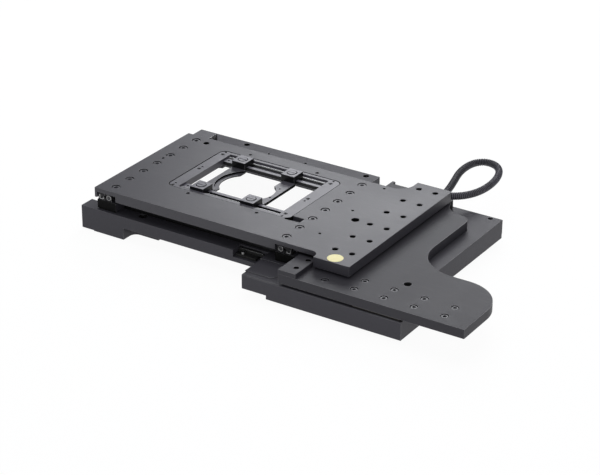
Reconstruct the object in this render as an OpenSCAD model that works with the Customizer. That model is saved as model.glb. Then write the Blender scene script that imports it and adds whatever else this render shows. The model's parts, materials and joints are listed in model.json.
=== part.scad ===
// Two-axis motorized stage with a lift-out specimen insert. Millimetres, +Z up.
// X is the long direction, Y points to the back. Pieces are drawn from the light axis
// and moved so that the origin is the centre of the footprint on the resting plane.

/* [Heights] */
// Height of the two runners under the base deck
runner_h = 14; // [13.9:0.1:14.2]
// Thickness of the base deck
deck_t = 13.7; // [13.6:0.1:13.9]
// Free gap between base deck and carriage
carriage_gap = 0.8; // [0.8:0.1:1]
// Thickness of the carriage plate
carriage_t = 10.5; // [10.5:0.1:10.8]
// Free gap between carriage and top plate
plate_gap = 2; // [1.9:0.1:2.2]
// Thickness of the top plate
plate_t = 11.5; // [11.4:0.1:11.8]

/* [Top plate] */
// Light axis to the left edge
plate_left = 141.1; // [140.9:0.1:141.5]
// Light axis to the front edge of the main part
plate_front = 104.4; // [104.2:0.1:104.6]
// Light axis to the rear edge of the main part
plate_rear = 73.4; // [73.2:0.1:73.6]
// Light axis to the left edge of the right-hand tab
tab_left = 149.3; // [149.2:0.1:149.6]
// Light axis to the right edge of the tab
tab_right = 192.4; // [192:0.1:193]
// Light axis to the front edge of the tab
tab_front = 115.7; // [115.5:0.1:116]
// Light axis to the rear edge of the tab
tab_rear = 100.4; // [100.2:0.1:100.6]
// Radius of the front inside corner beside the tab
tab_fillet_front = 8; // [6:1:8]
// Radius of the rear inside corner beside the tab
tab_fillet_rear = 18; // [15:1:20]
// Length of the insert recess
recess_l = 160; // [160:0.1:160.2]
// Width of the insert recess
recess_w = 110; // [110:0.1:110.2]
// Corner radius of the insert recess
recess_r = 8; // [7:1:9]
// Depth of the recess down to its ledge
recess_d = 8.3; // [8.3:0.1:8.6]
// Width of the ledge that carries the insert
ledge_w = 5; // [4:1:6]

/* [Tapped holes of the tab] */
// Distance between neighbouring holes
tap_pitch = 34.93; // [34.8:0.01:35]
// Holes in one row
tap_count = 6; // [4:1:6]
// Radius of a hole
tap_r = 3; // [2.8:0.1:3.2]
// Radius of the countersink at its mouth
tap_mouth_r = 3.6; // [3.5:0.1:3.8]
// Depth of a hole
tap_depth = 6.4; // [6:0.1:6.5]
// Light axis to the first row
tap_row_a = 158.6; // [158.4:0.1:158.8]
// Light axis to the second row
tap_row_b = 179.1; // [178.9:0.1:179.3]
// Light axis to the front hole of both rows
tap_front = 88.3; // [88:0.1:88.6]

/* [Crossed roller guides] */
// Width of one rail
rail_w = 8.7; // [8.6:0.1:8.7]
// Height of one rail
rail_h = 8; // [8:0.1:8.2]
// Gap between the two rails of a pair
rail_gap = 0.6; // [0.6:0.1:0.7]
// Height between a rail's free side and the pocket's floor
rail_float = 0.5; // [0.4:0.1:0.5]
// Depth of the base rails' seat below the deck's top
rail_sink = 2.5; // [2.4:0.1:2.5]
// Length of an X rail
x_rail_l = 228.6; // [228:0.1:229]
// Light axis to the left end of the X rails
x_rail_left = 140; // [139.8:0.1:140.2]
// Length of a Y rail
y_rail_l = 177.8; // [177.4:0.1:178]
// Light axis to the front end of the Y rails
y_rail_front = 103.4; // [103.2:0.1:103.6]
// Distance between rail screws
rail_pitch = 25.4; // [25.3:0.1:25.5]
// Diameter of a roller
roller_d = 3; // [2.9:0.1:3]
// Rollers in one X guide
x_rollers = 16; // [12:1:18]
// Rollers in one Y guide
y_rollers = 14; // [10:1:14]
// Length of an X cage
x_cage_l = 160; // [155:1:165]
// Length of a Y cage
y_cage_l = 132; // [128:1:136]

/* [Carriage] */
// Light axis to the left edge
car_left = 138; // [137.8:0.1:138.2]
// Light axis to the set-back front edge between the rail ears
car_setback = 87; // [86.6:0.1:87.2]
// Light axis to the front face of the arm
arm_front = 145.5; // [145.3:0.1:145.7]
// Light axis to the left end of the arm
arm_left = 125.5; // [125.4:0.1:125.8]
// Light axis to the right end of the arm
arm_right = 341.7; // [341:0.1:342.5]
// Light axis to the rear edge of the arm
arm_rear = 52.8; // [52.6:0.1:53]
// Outer corner radius at the arm's end
arm_corner_r = 45; // [42:1:46]
// Inside corner radius between arm and plate
arm_fillet_r = 48; // [44:1:48]
// Light axis to the right edge behind the arm
car_right = 229; // [228.6:0.1:229.4]
// Light axis to the rear edge of the right half
car_rear = 108.3; // [108.2:0.1:108.5]
// Distance between neighbouring arm screws
arm_pitch = 34.66; // [34.5:0.01:34.7]
// Height of the stop block above the carriage
stop_block_h = 5.1; // [5:0.1:5.2]

/* [Base] */
// Light axis to the left edge
base_left = 158; // [157.8:0.1:158.2]
// Light axis to the front edge
base_front = 107.5; // [107.4:0.1:107.6]
// Light axis to the right edge
base_right = 248.8; // [248.5:0.1:249]
// Light axis to the rear edge of the right half
base_rear = 114; // [113.9:0.1:114.2]
// Light axis to the rear edge of the rear strip
strip_rear = 137; // [136.8:0.1:137.2]
// Light axis to the right end of the rear strip
strip_right = 79.7; // [79.5:0.1:80]
// Width of the left runner
runner_w = 35; // [34.8:0.1:35.2]
// Width of the wider foot at the runner's front end
foot_w = 57; // [56.8:0.1:57.2]
// Light axis to the left end of the front motor housing
housing_left = 80.7; // [80.6:0.1:81]
// Light axis to the right end of the front motor housing
housing_right = 271.2; // [271:0.1:271.6]
// Depth of the housing's top below the deck's top
housing_drop = 2; // [2:0.1:2.2]
// Radius of the mounting holes
mount_r = 3.5; // [3.3:0.1:3.6]

/* [Insert] */
// Free gap all round the insert
insert_gap = 0.5; // [0.4:0.05:0.6]
// Width of the left end bar
end_bar_left = 13; // [12.8:0.1:13.2]
// Width of the right end bar
end_bar_right = 15; // [14.8:0.1:15.2]
// Width of the front and rear rails of the insert
side_bar_w = 4; // [3.9:0.1:4]
// Radius of the guide rods
rod_r = 1.5; // [1.4:0.1:1.6]
// Length of a clamp block along X
block_l = 17.3; // [17:0.1:17.5]
// Width of a clamp block along Y
block_w = 18.5; // [18.4:0.1:18.6]
// Radius of a locking screw's round head
disc_r = 5.2; // [5:0.1:5.4]

/* [Travel] */
// Travel of the carriage to each side
x_travel = 57; // [56:1:57]
// Travel of the top plate to each side
y_travel = 37.5; // [37:0.5:37.5]

/* [Conduit] */
// Outer diameter of the ribbed conduit over its ribs
hose_d = 8.4; // [8.2:0.1:8.6]
// Depth of the grooves between ribs
rib_depth = 0.7; // [0.5:0.05:0.8]
// Number of ribs
rib_count = 100; // [80:1:120]
// Radius of the bore
hose_bore_r = 2.4; // [2.3:0.1:2.5]

/* [Hidden] */
fine = 48;
over = 0.5;
seat_gap = 0.05;
screw_gap = 0.05;

// stacked heights
deck_z = runner_h + deck_t;
car_z0 = deck_z + carriage_gap;
car_z1 = car_z0 + carriage_t;
plate_z0 = car_z1 + plate_gap;
plate_z1 = plate_z0 + plate_t;
housing_z1 = deck_z - housing_drop;

// footprint centre, so that the origin is the bottom centre
centre_x = (arm_right - base_left) / 2;
centre_y = (strip_rear - arm_front) / 2;

// X guides
xr_z0 = deck_z - rail_sink;
xr_z1 = xr_z0 + rail_h;
xm_z0 = xr_z0 + rail_float;
xm_z1 = xm_z0 + rail_h;
x_mid_z = (xr_z0 + xm_z1) / 2;
xf_outer = -88;
xf_split = xf_outer + rail_w;
xf_inner = xf_split + rail_gap + rail_w;
xb_inner = 84;
xb_split = xb_inner + rail_w;
xb_outer = xb_split + rail_gap + rail_w;
x_rail_x0 = -x_rail_left;
x_rail_x1 = x_rail_x0 + x_rail_l;
x_rail_mid = (x_rail_x0 + x_rail_x1) / 2;

// Y guides
yf_z0 = car_z1;
yf_z1 = yf_z0 + rail_h;
ym_z0 = yf_z0 + rail_float;
ym_z1 = ym_z0 + rail_h;
y_mid_z = (yf_z0 + ym_z1) / 2;
yl_outer = -136.8;
yl_split = yl_outer + rail_w;
yl_inner = yl_split + rail_gap + rail_w;
yr_inner = 97.4;
yr_split = yr_inner + rail_w;
yr_outer = yr_split + rail_gap + rail_w;
y_rail_y0 = -y_rail_front;
y_rail_y1 = y_rail_y0 + y_rail_l;
y_rail_mid = (y_rail_y0 + y_rail_y1) / 2;
pocket_gap = 0.3;
track_spare = 1.2;

// V groove of the rails: half height at the rail's face
fit_gap = 0.02;
groove = (roller_d + 2 * fit_gap) / sqrt(2) - rail_gap / 2;
cage_t = 0.3;
cage_h = 6;
cage_window_w = 3.4;
cage_window_h = 4.6;

// screws
m5_r = 2.1;
m5_head_r = 4.2;
m5_head_h = 2.3;
m5_seat_r = 5;
m5_seat_d = 2.9;
m3_r = 1.5;
m3_head_r = 2.7;
m3_head_h = 2.6;
m3_seat_r = 3;
m3_seat_d = 3;
m3_len = 5;
m5_len = 6;
arm_len = 4;
gland_l = 6;
tab_gland_l = 9;
hex_share = 0.55;
hex_depth_share = 0.6;
tip_gap = 0.3;

// top plate details
plate_screw_x_left = -122.1;
plate_screw_x_right = 100.7;
plate_screw_front = 90.7;
plate_screws_n = 7;
lip_t = 5.8;
relief_x0 = 118;
relief_rear = -62;
notch_d = 8;
inner_r_less = 3;
notch_left_x0 = -138;
notch_left_x1 = -113;
notch_right_x0 = 95;
small_r = 1.65;
small_depth = 4;
small_holes = [[-124.3, 0], [126.2, 66.4], [126.2, 0], [126.2, -66.2]];
set_r = 2;
set_depth = 5;
set_sunk = 1;
set_hex_d = 2;
set_side = 6;
set_xs = [-46.7, 43.1];
set_holes = [for (px = set_xs, s = [-1, 1]) [px, s * (recess_w / 2 + set_side)]];
access_a = [-107.2, 60.7];
access_a_r = 3.5;
access_b = [140.4, -18.1];
access_b_r = 4.5;
pry_depth = 4.5;
pry_in = 4.5;
pry_out = 14.4;
pry_front = 2.2;
pry_rear = 8.8;
pry_points = [[recess_l / 2 - pry_in, -recess_w / 2 - pry_front],
  [recess_l / 2 - pry_in, -recess_w / 2 + pry_rear], [recess_l / 2 + pry_out, -recess_w / 2 + pry_rear],
  [recess_l / 2 + pry_out, -recess_w / 2 - pry_front / 2]];
yoke_x0 = 153;
yoke_x1 = 186;
yoke_y0 = -110;
yoke_y1 = 92;
yoke_t = 2.1;
y_magnet_t = 1.6;
magnet_side = 2;
y_magnets_n = 14;
gland_chamfer_x = 2.6;
gland_chamfer_y = 2.2;
hose_gland_r = 4.3;
tab_gland_r = 3.4;

// carriage details
ear_rear = 104;
ear_left_x1 = -113;
ear_right_x0 = 95;
window_x0 = -88.5;
window_x1 = 90;
window_y0 = -60;
window_y1 = 62;
corner_r = 12;
rear_edge_left = 93;
rear_left_x = 109.6;
slant = [[217, 78], [205, 80], [196, 88.5], [191.5, 99], [190, car_rear]];
coil_x0 = 155;
coil_x1 = 184;
coil_y0 = -62;
coil_y1 = 50;
coil_sink = 7;
coil_proud = 0.9;
track_x0 = 154.8;
track_x1 = 329.8;
track_y0 = -141;
track_y1 = -101;
track_yoke_t = 3;
track_magnet_t = 2.8;
x_magnets_n = 12;
arm_row_a_x = 172.9;
arm_row_a_y = -130.6;
arm_row_a_n = 5;
arm_row_b_x = 207.75;
arm_row_b_y = -110;
arm_row_b_n = 4;
arm_seat_r = 4.25;
arm_seat_d = 3.2;
arm_head_r = 3.6;
arm_head_h = 2.6;
arm_shank_r = 2;
sink_hole = [247.7, -92.1];
sink_hole_r = 2.6;
sink_mouth_r = 4.6;
stop_block_x1 = 146.6;
stop_block_rear = -104;
stop_holes = [[139.3, -132.2], [140.6, -111.4]];
stop_seat_d = 3.9;
stop_head_h = 2;
vane_x1 = 113.3;
vane_rear = 114;
bracket_x0 = -151;
bracket_x1 = -128.3;
bracket_y0 = 82;
bracket_y1 = 113.3;
bracket_t = 1.3;
bracket_drop = 7;
bracket_screws = [[-135.5, 87], [-131, 87]];

// base details
deck_window_x0 = -106;
deck_window_x1 = 100;
deck_window_y0 = -66;
deck_window_y1 = 82.5;
window_r = 6;
undercut_y = 88;
undercut_h = 9;
left_recess_x = -150;
left_recess_y = -88.5;
block_x0 = 120;
block_z0 = 5.7;
block_chamfer = 5;
right_runner_x0 = 150;
right_runner_x1 = 226;
right_runner_y0 = -95;
right_runner_y1 = 104;
web_x1 = -68;
web_y0 = -88;
web_y1 = -68;
web_r = 8;
foot_relief_x = -142;
foot_relief_h = 0.7;
flange_x0 = 79.5;
flange_x1 = 115;
flange_front = -137.5;
flange_t = 0.8;
flange_z1 = housing_z1 + flange_t;
flange_r = 6;
cover_x1 = 205;
cover_front = -128;
arch_r = 6;
strip_holes = [[-97.4, 129.4], [65.2, 130.4]];
dowel_holes = [[-61.5, 121.6], [-10.9, 121.7]];
dowel_r = 1.5;
dowel_d = 8;
block_hole = [235.8, 109.4];
block_hole_r = 2.6;
base_screw = [-84.2, -93.3];
base_screw_seat_r = 4.8;
base_screw_head_r = 4.4;
base_screw_head_h = 5;
stop_x0 = 43.7;
stop_x1 = 79;
stop_rear = -92;
stop_depth = 8.2;
housing_step_x = 110.6;
housing_z_left = 9.3;
housing_z_right = 5;
housing_chamfer = 0.8;
coil_bay_x0 = 210.8;
coil_bay_x1 = 270;
bay_y0 = -143.4;
bay_y1 = -109.5;
bay_floor = 4;
board_bay_x0 = 92;
board_bay_x1 = 200;
board_bay_y0 = -125.5;
board_bay_y1 = -112;
board_in = 1;
board_post_in = 5;
board_post_h = 3;
board_post_r = 2;
chip_in = 14;
chip_l = 20;
chip_w = 7;
chip_h = 1.8;
coil_r = 3;
head_r = 2;
board_bay_floor = 14;
x_coil_z1 = 27.4;
board_t = 1.6;
bay_gap = 0.3;

// insert details
block_rise = 0.3;
ins_x = recess_l / 2 - insert_gap;
ins_y = recess_w / 2 - insert_gap;
ins_z1 = plate_z1 - 0.3;
ins_z0 = plate_z1 - recess_d + seat_gap;
inner_left = -ins_x + end_bar_left;
inner_right = ins_x - end_bar_right;
side_in = ins_y - side_bar_w;
low_bar_in = 19.2;
low_bar_w = 4.7;
low_bar_y0 = ins_y - low_bar_in;
low_bar_y1 = low_bar_y0 + low_bar_w;
low_bar_drop = 2.7;
pad_l = 9.5;
pad_y1 = 44.6;
channel_floor_t = 1;
rod_in = 7.8;
guide_y = ins_y - rod_in;
rod_drop = 3.3;
rod_end = 3;
left_block_in = 23.5;
right_block_in = 41.8;
left_block_x = inner_left + left_block_in;
right_block_x = inner_right - right_block_in;
block_in = 13.8;
block_y = ins_y - block_in;
block_top = 3;
block_leg_y = 35;
block_leg_drop = 6.5;
leg_gap = 0.4;
block_step_y = low_bar_y1 + leg_gap;
cap_t = 1.2;
disc_proud = 0.35;
jaw_t = 3.4;
jaw_drop = 4.6;
seat_ahead = 35.6;
seat_r = 38.5;
seat_h = 1.3;
dish_ahead = 30.2;
dish_r = 28.5;
finger_back = 20.1;
finger_y = -6.7;
finger_r = 24.9;
jaw_left_back = 8.5;
jaw_left_ahead = 10.3;
jaw_right_back = 5.7;
jaw_right_ahead = 10.2;
jaw_left_x0 = left_block_x - jaw_left_back;
jaw_left_x1 = left_block_x + jaw_left_ahead;
jaw_right_x0 = right_block_x - jaw_right_back;
jaw_right_x1 = right_block_x + jaw_right_ahead;
jaw_holes = [[2.9, 11], [6.4, -13.6]];
jaw_hole_r = 1.2;
stem_l = 4;
stem_less = 0.3;
ins_screw_left_in = 5.5;
ins_screw_right_in = 9.5;
ins_pair_y = 6.6;
ins_pair_side = 9.1;
ins_mid_y = -1;
ins_screws_left = [for (py = [ins_y - ins_pair_side, ins_mid_y, -ins_y + ins_pair_side - ins_pair_y])
  [-ins_x + ins_screw_left_in, py]];
ins_screws_right = [for (py = [ins_y - ins_pair_side, ins_mid_y, -ins_y + ins_pair_side])
  [ins_x - ins_screw_right_in, py]];
ins_small_left = [for (p = ins_screws_left) [p[0], p[1] + ins_pair_y]];
ins_small_right = [for (p = ins_screws_right)
  [p[0], p[1] + (p[1] > 0 ? ins_pair_y : -ins_pair_y)]];
ins_seat_d = 1.5;
ins_sunk = 0.3;
ins_screw_r = 2.4;
ins_small_r = 1.3;
ins_small_d = 3;

module placed() {
  translate([-centre_x, -centre_y, 0]) children();
}

module blk(x0, x1, y0, y1, z0, z1) {
  translate([x0, y0, z0]) cube([x1 - x0, y1 - y0, z1 - z0]);
}

module rod(x, y, z0, z1, r) {
  translate([x, y, z0]) cylinder(h = z1 - z0, r = r, $fn = fine);
}

// box with four rounded vertical corners
module rblk(x0, x1, y0, y1, z0, z1, r) {
  translate([0, 0, z0]) linear_extrude(z1 - z0) {
    translate([x0 + r, y0]) square([x1 - x0 - 2 * r, y1 - y0]);
    translate([x0, y0 + r]) square([x1 - x0, y1 - y0 - 2 * r]);
    for (px = [x0 + r, x1 - r], py = [y0 + r, y1 - r])
      translate([px, py]) circle(r = r, $fn = fine);
  }
}

// socket head screw, head top at z, pointing down
module screw(x, y, z, head_r, head_h, r, len) {
  difference() {
    union() {
      rod(x, y, z - head_h, z, head_r);
      rod(x, y, z - head_h - len, z - head_h, r);
    }
    translate([x, y, z - head_h * hex_depth_share])
      cylinder(h = head_h, r = head_r * hex_share, $fn = 6);
  }
}

// rail along X with its V groove on the side given by dir
module rail_x(y0, z0, dir) {
  yf = dir > 0 ? y0 + rail_w : y0;
  difference() {
    blk(x_rail_x0, x_rail_x1, y0, y0 + rail_w, z0, z0 + rail_h);
    translate([x_rail_x0 - over, yf, x_mid_z]) rotate([90, 0, 90])
      linear_extrude(x_rail_l + 2 * over)
        polygon([[dir * over, groove + over], [-dir * groove, 0], [dir * over, -groove - over]]);
  }
}

// rail along Y with its V groove on the side given by dir
module rail_y(x0, z0, dir) {
  xf = dir > 0 ? x0 + rail_w : x0;
  difference() {
    blk(x0, x0 + rail_w, y_rail_y0, y_rail_y1, z0, z0 + rail_h);
    translate([xf, y_rail_y1 + over, y_mid_z]) rotate([90, 0, 0])
      linear_extrude(y_rail_l + 2 * over)
        polygon([[dir * over, groove + over], [-dir * groove, 0], [dir * over, -groove - over]]);
  }
}

module x_rail_bores(y, z1, depth) {
  for (px = x_screw_xs) {
    rod(px, y, z1 - m3_seat_d, z1 + over, m3_seat_r);
    rod(px, y, z1 - depth - over, z1, m3_r + screw_gap);
  }
}

module y_rail_bores(x, z1, depth) {
  for (py = y_screw_ys) {
    rod(x, py, z1 - m3_seat_d, z1 + over, m3_seat_r);
    rod(x, py, z1 - depth - over, z1, m3_r + screw_gap);
  }
}

rail_screw_tip = 4;
rail_screw_in = 3.3;
x_rail_screws_n = 9;
y_rail_screws_n = 7;
xf_screw_y = xf_outer + rail_screw_in;
xb_screw_y = xb_outer - rail_screw_in;
yl_screw_x = yl_outer + rail_screw_in;
yr_screw_x = yr_outer - rail_screw_in;
x_screw_xs = [for (i = [0 : x_rail_screws_n - 1])
  x_rail_mid + (i - (x_rail_screws_n - 1) / 2) * rail_pitch];
y_screw_ys = [for (i = [0 : y_rail_screws_n - 1])
  y_rail_mid + (i - (y_rail_screws_n - 1) / 2) * rail_pitch];

module base_plate() color([0.27, 0.28, 0.3]) placed() difference() {
  union() {
    blk(-base_left, base_right, -base_front, base_rear, runner_h, deck_z);
    blk(-base_left, strip_right, base_rear - over, strip_rear, runner_h, deck_z);
    // thin flange on the housing, and its cover under the arm
    hull() {
      blk(flange_x0, flange_x0 + over, flange_front, -base_front + over, housing_z1, flange_z1);
      blk(flange_x0, flange_x1, -base_front, -base_front + over, housing_z1, flange_z1);
      rod(flange_x1 - flange_r, flange_front + flange_r, housing_z1, flange_z1, flange_r);
    }
    blk(flange_x1 - over, cover_x1, cover_front, -base_front + over, housing_z1, flange_z1);
    blk(block_x0, base_right, -base_front, base_rear, block_z0, runner_h + over);
    blk(-base_left, -base_left + runner_w, -base_front, base_rear, 0, runner_h + over);
    blk(-base_left, -base_left + foot_w, -base_front, web_y1, 0, runner_h + over);
    blk(-base_left, web_x1, web_y0, web_y1, 0, runner_h + over);
    difference() {
      blk(-base_left + foot_w - over, -base_left + foot_w + web_r, web_y0 - web_r, web_y0 + over, 0,
        runner_h + over);
      rod(-base_left + foot_w + web_r, web_y0 - web_r, -over, runner_h + 2 * over, web_r);
    }
    rblk(right_runner_x0, right_runner_x1, right_runner_y0, right_runner_y1, 0, block_z0 + over,
      arch_r);
  }
  rblk(deck_window_x0, deck_window_x1, deck_window_y0, deck_window_y1, block_z0 - over,
    deck_z + over, window_r);
  translate([deck_window_x0 + window_r, 0, 0]) rotate([90, 0, 90])
    linear_extrude(deck_window_x1 - deck_window_x0 - 2 * window_r)
      polygon([[deck_window_y1 - over, runner_h - over], [undercut_y, runner_h - over],
        [undercut_y, runner_h], [deck_window_y1, runner_h + undercut_h],
        [deck_window_y1 - over, runner_h + undercut_h]]);
  blk(-base_left - over, left_recess_x, left_recess_y, base_rear, -over, deck_z + over);
  blk(-base_left - over, foot_relief_x, -base_front - over, base_rear + over, -over, foot_relief_h);
  blk(-base_left - over, x_rail_x1 + x_travel + track_spare, xf_outer,
    xf_inner + pocket_gap, xr_z0, deck_z + over);
  blk(-base_left - over, x_rail_x1 + x_travel + track_spare, xb_inner - pocket_gap,
    xb_outer, xr_z0, deck_z + over);
  translate([base_right + over, base_rear, block_z0]) rotate([90, 0, -90])
    linear_extrude(base_right + over - block_x0 + over)
      polygon([[over, -over], [-block_chamfer - over, -over], [over, block_chamfer + over]]);
  for (p = strip_holes) rod(p[0], p[1], runner_h - over, deck_z + over, mount_r);
  for (p = dowel_holes) rod(p[0], p[1], deck_z - dowel_d, deck_z + over, dowel_r);
  rod(block_hole[0], block_hole[1], block_z0 - over, deck_z + over, block_hole_r);
  rod(base_screw[0], base_screw[1], deck_z - base_screw_head_h - over, deck_z + over,
    base_screw_seat_r);
  rod(base_screw[0], base_screw[1], runner_h - over, deck_z, m5_r + screw_gap);
  blk(stop_x0, stop_x1, -base_front - over, stop_rear, deck_z - stop_depth, deck_z + over);
  for (px = x_screw_xs, py = [xf_screw_y, xb_screw_y])
    rod(px, py, xr_z0 - rail_screw_tip, xr_z0 + over, m3_r + screw_gap);
  // seat of the X read head
  blk(read_x_x0 - bay_gap, read_x_x1 + bay_gap, read_x_y0 - bay_gap, read_x_y1 + bay_gap,
    deck_z - read_sink, deck_z + over);
}
read_x_x0 = 150;
read_x_x1 = 178;
read_x_y0 = 20;
read_x_y1 = 36;
read_sink = 6;
read_x_proud = 0.3;
read_y_proud = 0.6;

module motor_housing() color([0.25, 0.26, 0.28]) placed() difference() {
  union() {
    blk(housing_left, housing_right, -arm_front, -base_front, housing_z_left, housing_z1);
    blk(housing_step_x, housing_right, -arm_front, -base_front, housing_z_right, housing_z1);
  }
  blk(coil_bay_x0, coil_bay_x1, bay_y0, bay_y1, housing_z_right + bay_floor, housing_z1 + over);
  blk(board_bay_x0, board_bay_x1, board_bay_y0, board_bay_y1,
    board_bay_floor, housing_z1 + over);
  translate([housing_left - over, -arm_front, housing_z1]) rotate([90, 0, 90])
    linear_extrude(housing_right - housing_left + 2 * over)
      polygon([[-over, -housing_chamfer - over], [housing_chamfer + over, over], [-over, over]]);
}

module x_coil() color([0.5, 0.27, 0.13]) placed()
  rblk(coil_bay_x0 + bay_gap, coil_bay_x1 - bay_gap, bay_y0 + bay_gap, bay_y1 - bay_gap,
    housing_z_right + bay_floor, x_coil_z1, coil_r);

module control_board() color([0.1, 0.3, 0.18]) placed() {
  z0 = board_bay_floor + board_post_h;
  blk(board_bay_x0 + board_in, board_bay_x1 - board_in, board_bay_y0 + board_in,
    board_bay_y1 - board_in, z0, z0 + board_t);
  for (px = [board_bay_x0 + board_post_in, board_bay_x1 - board_post_in])
    rod(px, (board_bay_y0 + board_bay_y1) / 2, board_bay_floor, z0, board_post_r);
  blk(board_bay_x0 + chip_in, board_bay_x0 + chip_in + chip_l,
    (board_bay_y0 + board_bay_y1 - chip_w) / 2, (board_bay_y0 + board_bay_y1 + chip_w) / 2,
    z0 + board_t, z0 + board_t + chip_h);
}

module x_fixed_rail_front() color([0.62, 0.63, 0.65]) placed() difference() {
  rail_x(xf_outer, xr_z0, 1);
  x_rail_bores(xf_screw_y, xr_z1, rail_h);
}
module x_fixed_rail_rear() color([0.62, 0.63, 0.65]) placed() difference() {
  rail_x(xb_split + rail_gap, xr_z0, -1);
  x_rail_bores(xb_screw_y, xr_z1, rail_h);
}
module x_moving_rail_front() color([0.62, 0.63, 0.65]) placed()
  rail_x(xf_split + rail_gap, xm_z0, -1);
module x_moving_rail_rear() color([0.62, 0.63, 0.65]) placed()
  rail_x(xb_inner, xm_z0, 1);

module x_rail_screws() color([0.2, 0.2, 0.22]) placed()
  for (px = x_screw_xs, py = [xf_screw_y, xb_screw_y])
    screw(px, py, xr_z1 - m3_seat_d + m3_head_h, m3_head_r, m3_head_h, m3_r,
      rail_h - m3_seat_d + rail_screw_tip - tip_gap);

module base_screw_front() color([0.2, 0.2, 0.22]) placed()
  screw(base_screw[0], base_screw[1], deck_z - over, base_screw_head_r, base_screw_head_h, m5_r,
    deck_z - over - base_screw_head_h - runner_h);

stop_gap = 1;
stop_wall_gap = 0.3;
stop_plate_t = 3;
stop_plate_in = 4;
stop_post_x1 = stop_x1 - 9;
stop_post_t = 5;
stop_post_drop = 1.4;
stop_screw_x = 52.5;
stop_screw_y = -100;
strip_x0 = 46.7;
strip_x1 = 75.3;
strip_w = 1;
strip_t = 0.4;
strip_bend = 1.9;
bumper_r = 2.2;
bumper_l = 7.4;
bumper_in = 2.6;
bumper_drop = 4.4;
module stop_bracket() color([0.12, 0.12, 0.13]) placed() difference() {
  union() {
    blk(stop_x0 + stop_gap, stop_post_x1, -base_front + stop_plate_in, stop_rear - stop_wall_gap,
      deck_z - stop_depth, deck_z - stop_depth + stop_plate_t);
    blk(stop_x0 + stop_gap, stop_post_x1, stop_rear - stop_post_t, stop_rear - stop_wall_gap,
      deck_z - stop_depth, deck_z - stop_post_drop);
  }
  rod(stop_screw_x, stop_screw_y, deck_z - stop_depth - over, deck_z, m3_r + screw_gap);
}
module stop_screw() color([0.6, 0.6, 0.62]) placed()
  screw(stop_screw_x, stop_screw_y, deck_z - stop_depth + stop_plate_t + m3_head_h, m3_head_r,
    m3_head_h, m3_r, stop_plate_t);
// a thin spring strip lies on the bracket's post, its free end bent down
module stop_strip() color([0.75, 0.75, 0.77]) placed() {
  z0 = deck_z - stop_post_drop;
  y0 = stop_rear - stop_post_t;
  blk(strip_x0, strip_x1, y0, y0 + strip_w, z0, z0 + strip_t);
  blk(strip_x1 - strip_t, strip_x1, y0, y0 + strip_w, z0 + strip_t - strip_bend, z0 + strip_t);
}
module stop_bumper() color([0.1, 0.1, 0.1]) placed()
  translate([stop_post_x1, stop_rear - bumper_in, deck_z - bumper_drop]) rotate([0, 90, 0])
    cylinder(h = bumper_l, r = bumper_r, $fn = fine);

module x_read_head() color([0.14, 0.14, 0.16]) placed()
  rblk(read_x_x0, read_x_x1, read_x_y0, read_x_y1, deck_z - read_sink, deck_z + read_x_proud,
    head_r);

// cages and crossed rollers
module cage_x(y) {
  difference() {
    blk(x_rail_mid - x_cage_l / 2, x_rail_mid + x_cage_l / 2, y - cage_t / 2, y + cage_t / 2,
      x_mid_z - cage_h / 2, x_mid_z + cage_h / 2);
    for (i = [0 : x_rollers - 1]) {
      px = x_rail_mid + (i - (x_rollers - 1) / 2) * x_cage_l / x_rollers;
      blk(px - cage_window_w / 2, px + cage_window_w / 2, y - over, y + over,
        x_mid_z - cage_window_h / 2, x_mid_z + cage_window_h / 2);
    }
  }
}
module rollers_x(y)
  for (i = [0 : x_rollers - 1]) {
    px = x_rail_mid + (i - (x_rollers - 1) / 2) * x_cage_l / x_rollers;
    translate([px, y, x_mid_z]) rotate([i % 2 == 0 ? 45 : -45, 0, 0])
      cylinder(h = roller_d - 2 * fit_gap, d = roller_d, center = true, $fn = fine);
  }
module cage_y(x) {
  difference() {
    blk(x - cage_t / 2, x + cage_t / 2, y_rail_mid - y_cage_l / 2, y_rail_mid + y_cage_l / 2,
      y_mid_z - cage_h / 2, y_mid_z + cage_h / 2);
    for (i = [0 : y_rollers - 1]) {
      py = y_rail_mid + (i - (y_rollers - 1) / 2) * y_cage_l / y_rollers;
      blk(x - over, x + over, py - cage_window_w / 2, py + cage_window_w / 2,
        y_mid_z - cage_window_h / 2, y_mid_z + cage_window_h / 2);
    }
  }
}
module rollers_y(x)
  for (i = [0 : y_rollers - 1]) {
    py = y_rail_mid + (i - (y_rollers - 1) / 2) * y_cage_l / y_rollers;
    translate([x, py, y_mid_z]) rotate([0, i % 2 == 0 ? 45 : -45, 0])
      cylinder(h = roller_d - 2 * fit_gap, d = roller_d, center = true, $fn = fine);
  }
module x_cage_front() color([0.72, 0.6, 0.3]) placed() cage_x(xf_split + rail_gap / 2);
module x_cage_rear() color([0.72, 0.6, 0.3]) placed() cage_x(xb_split + rail_gap / 2);
module x_rollers_front() color([0.75, 0.75, 0.77]) placed() rollers_x(xf_split + rail_gap / 2);
module x_rollers_rear() color([0.75, 0.75, 0.77]) placed() rollers_x(xb_split + rail_gap / 2);
module y_cage_left() color([0.72, 0.6, 0.3]) placed() cage_y(yl_split + rail_gap / 2);
module y_cage_right() color([0.72, 0.6, 0.3]) placed() cage_y(yr_split + rail_gap / 2);
module y_rollers_left() color([0.75, 0.75, 0.77]) placed() rollers_y(yl_split + rail_gap / 2);
module y_rollers_right() color([0.75, 0.75, 0.77]) placed() rollers_y(yr_split + rail_gap / 2);

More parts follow.
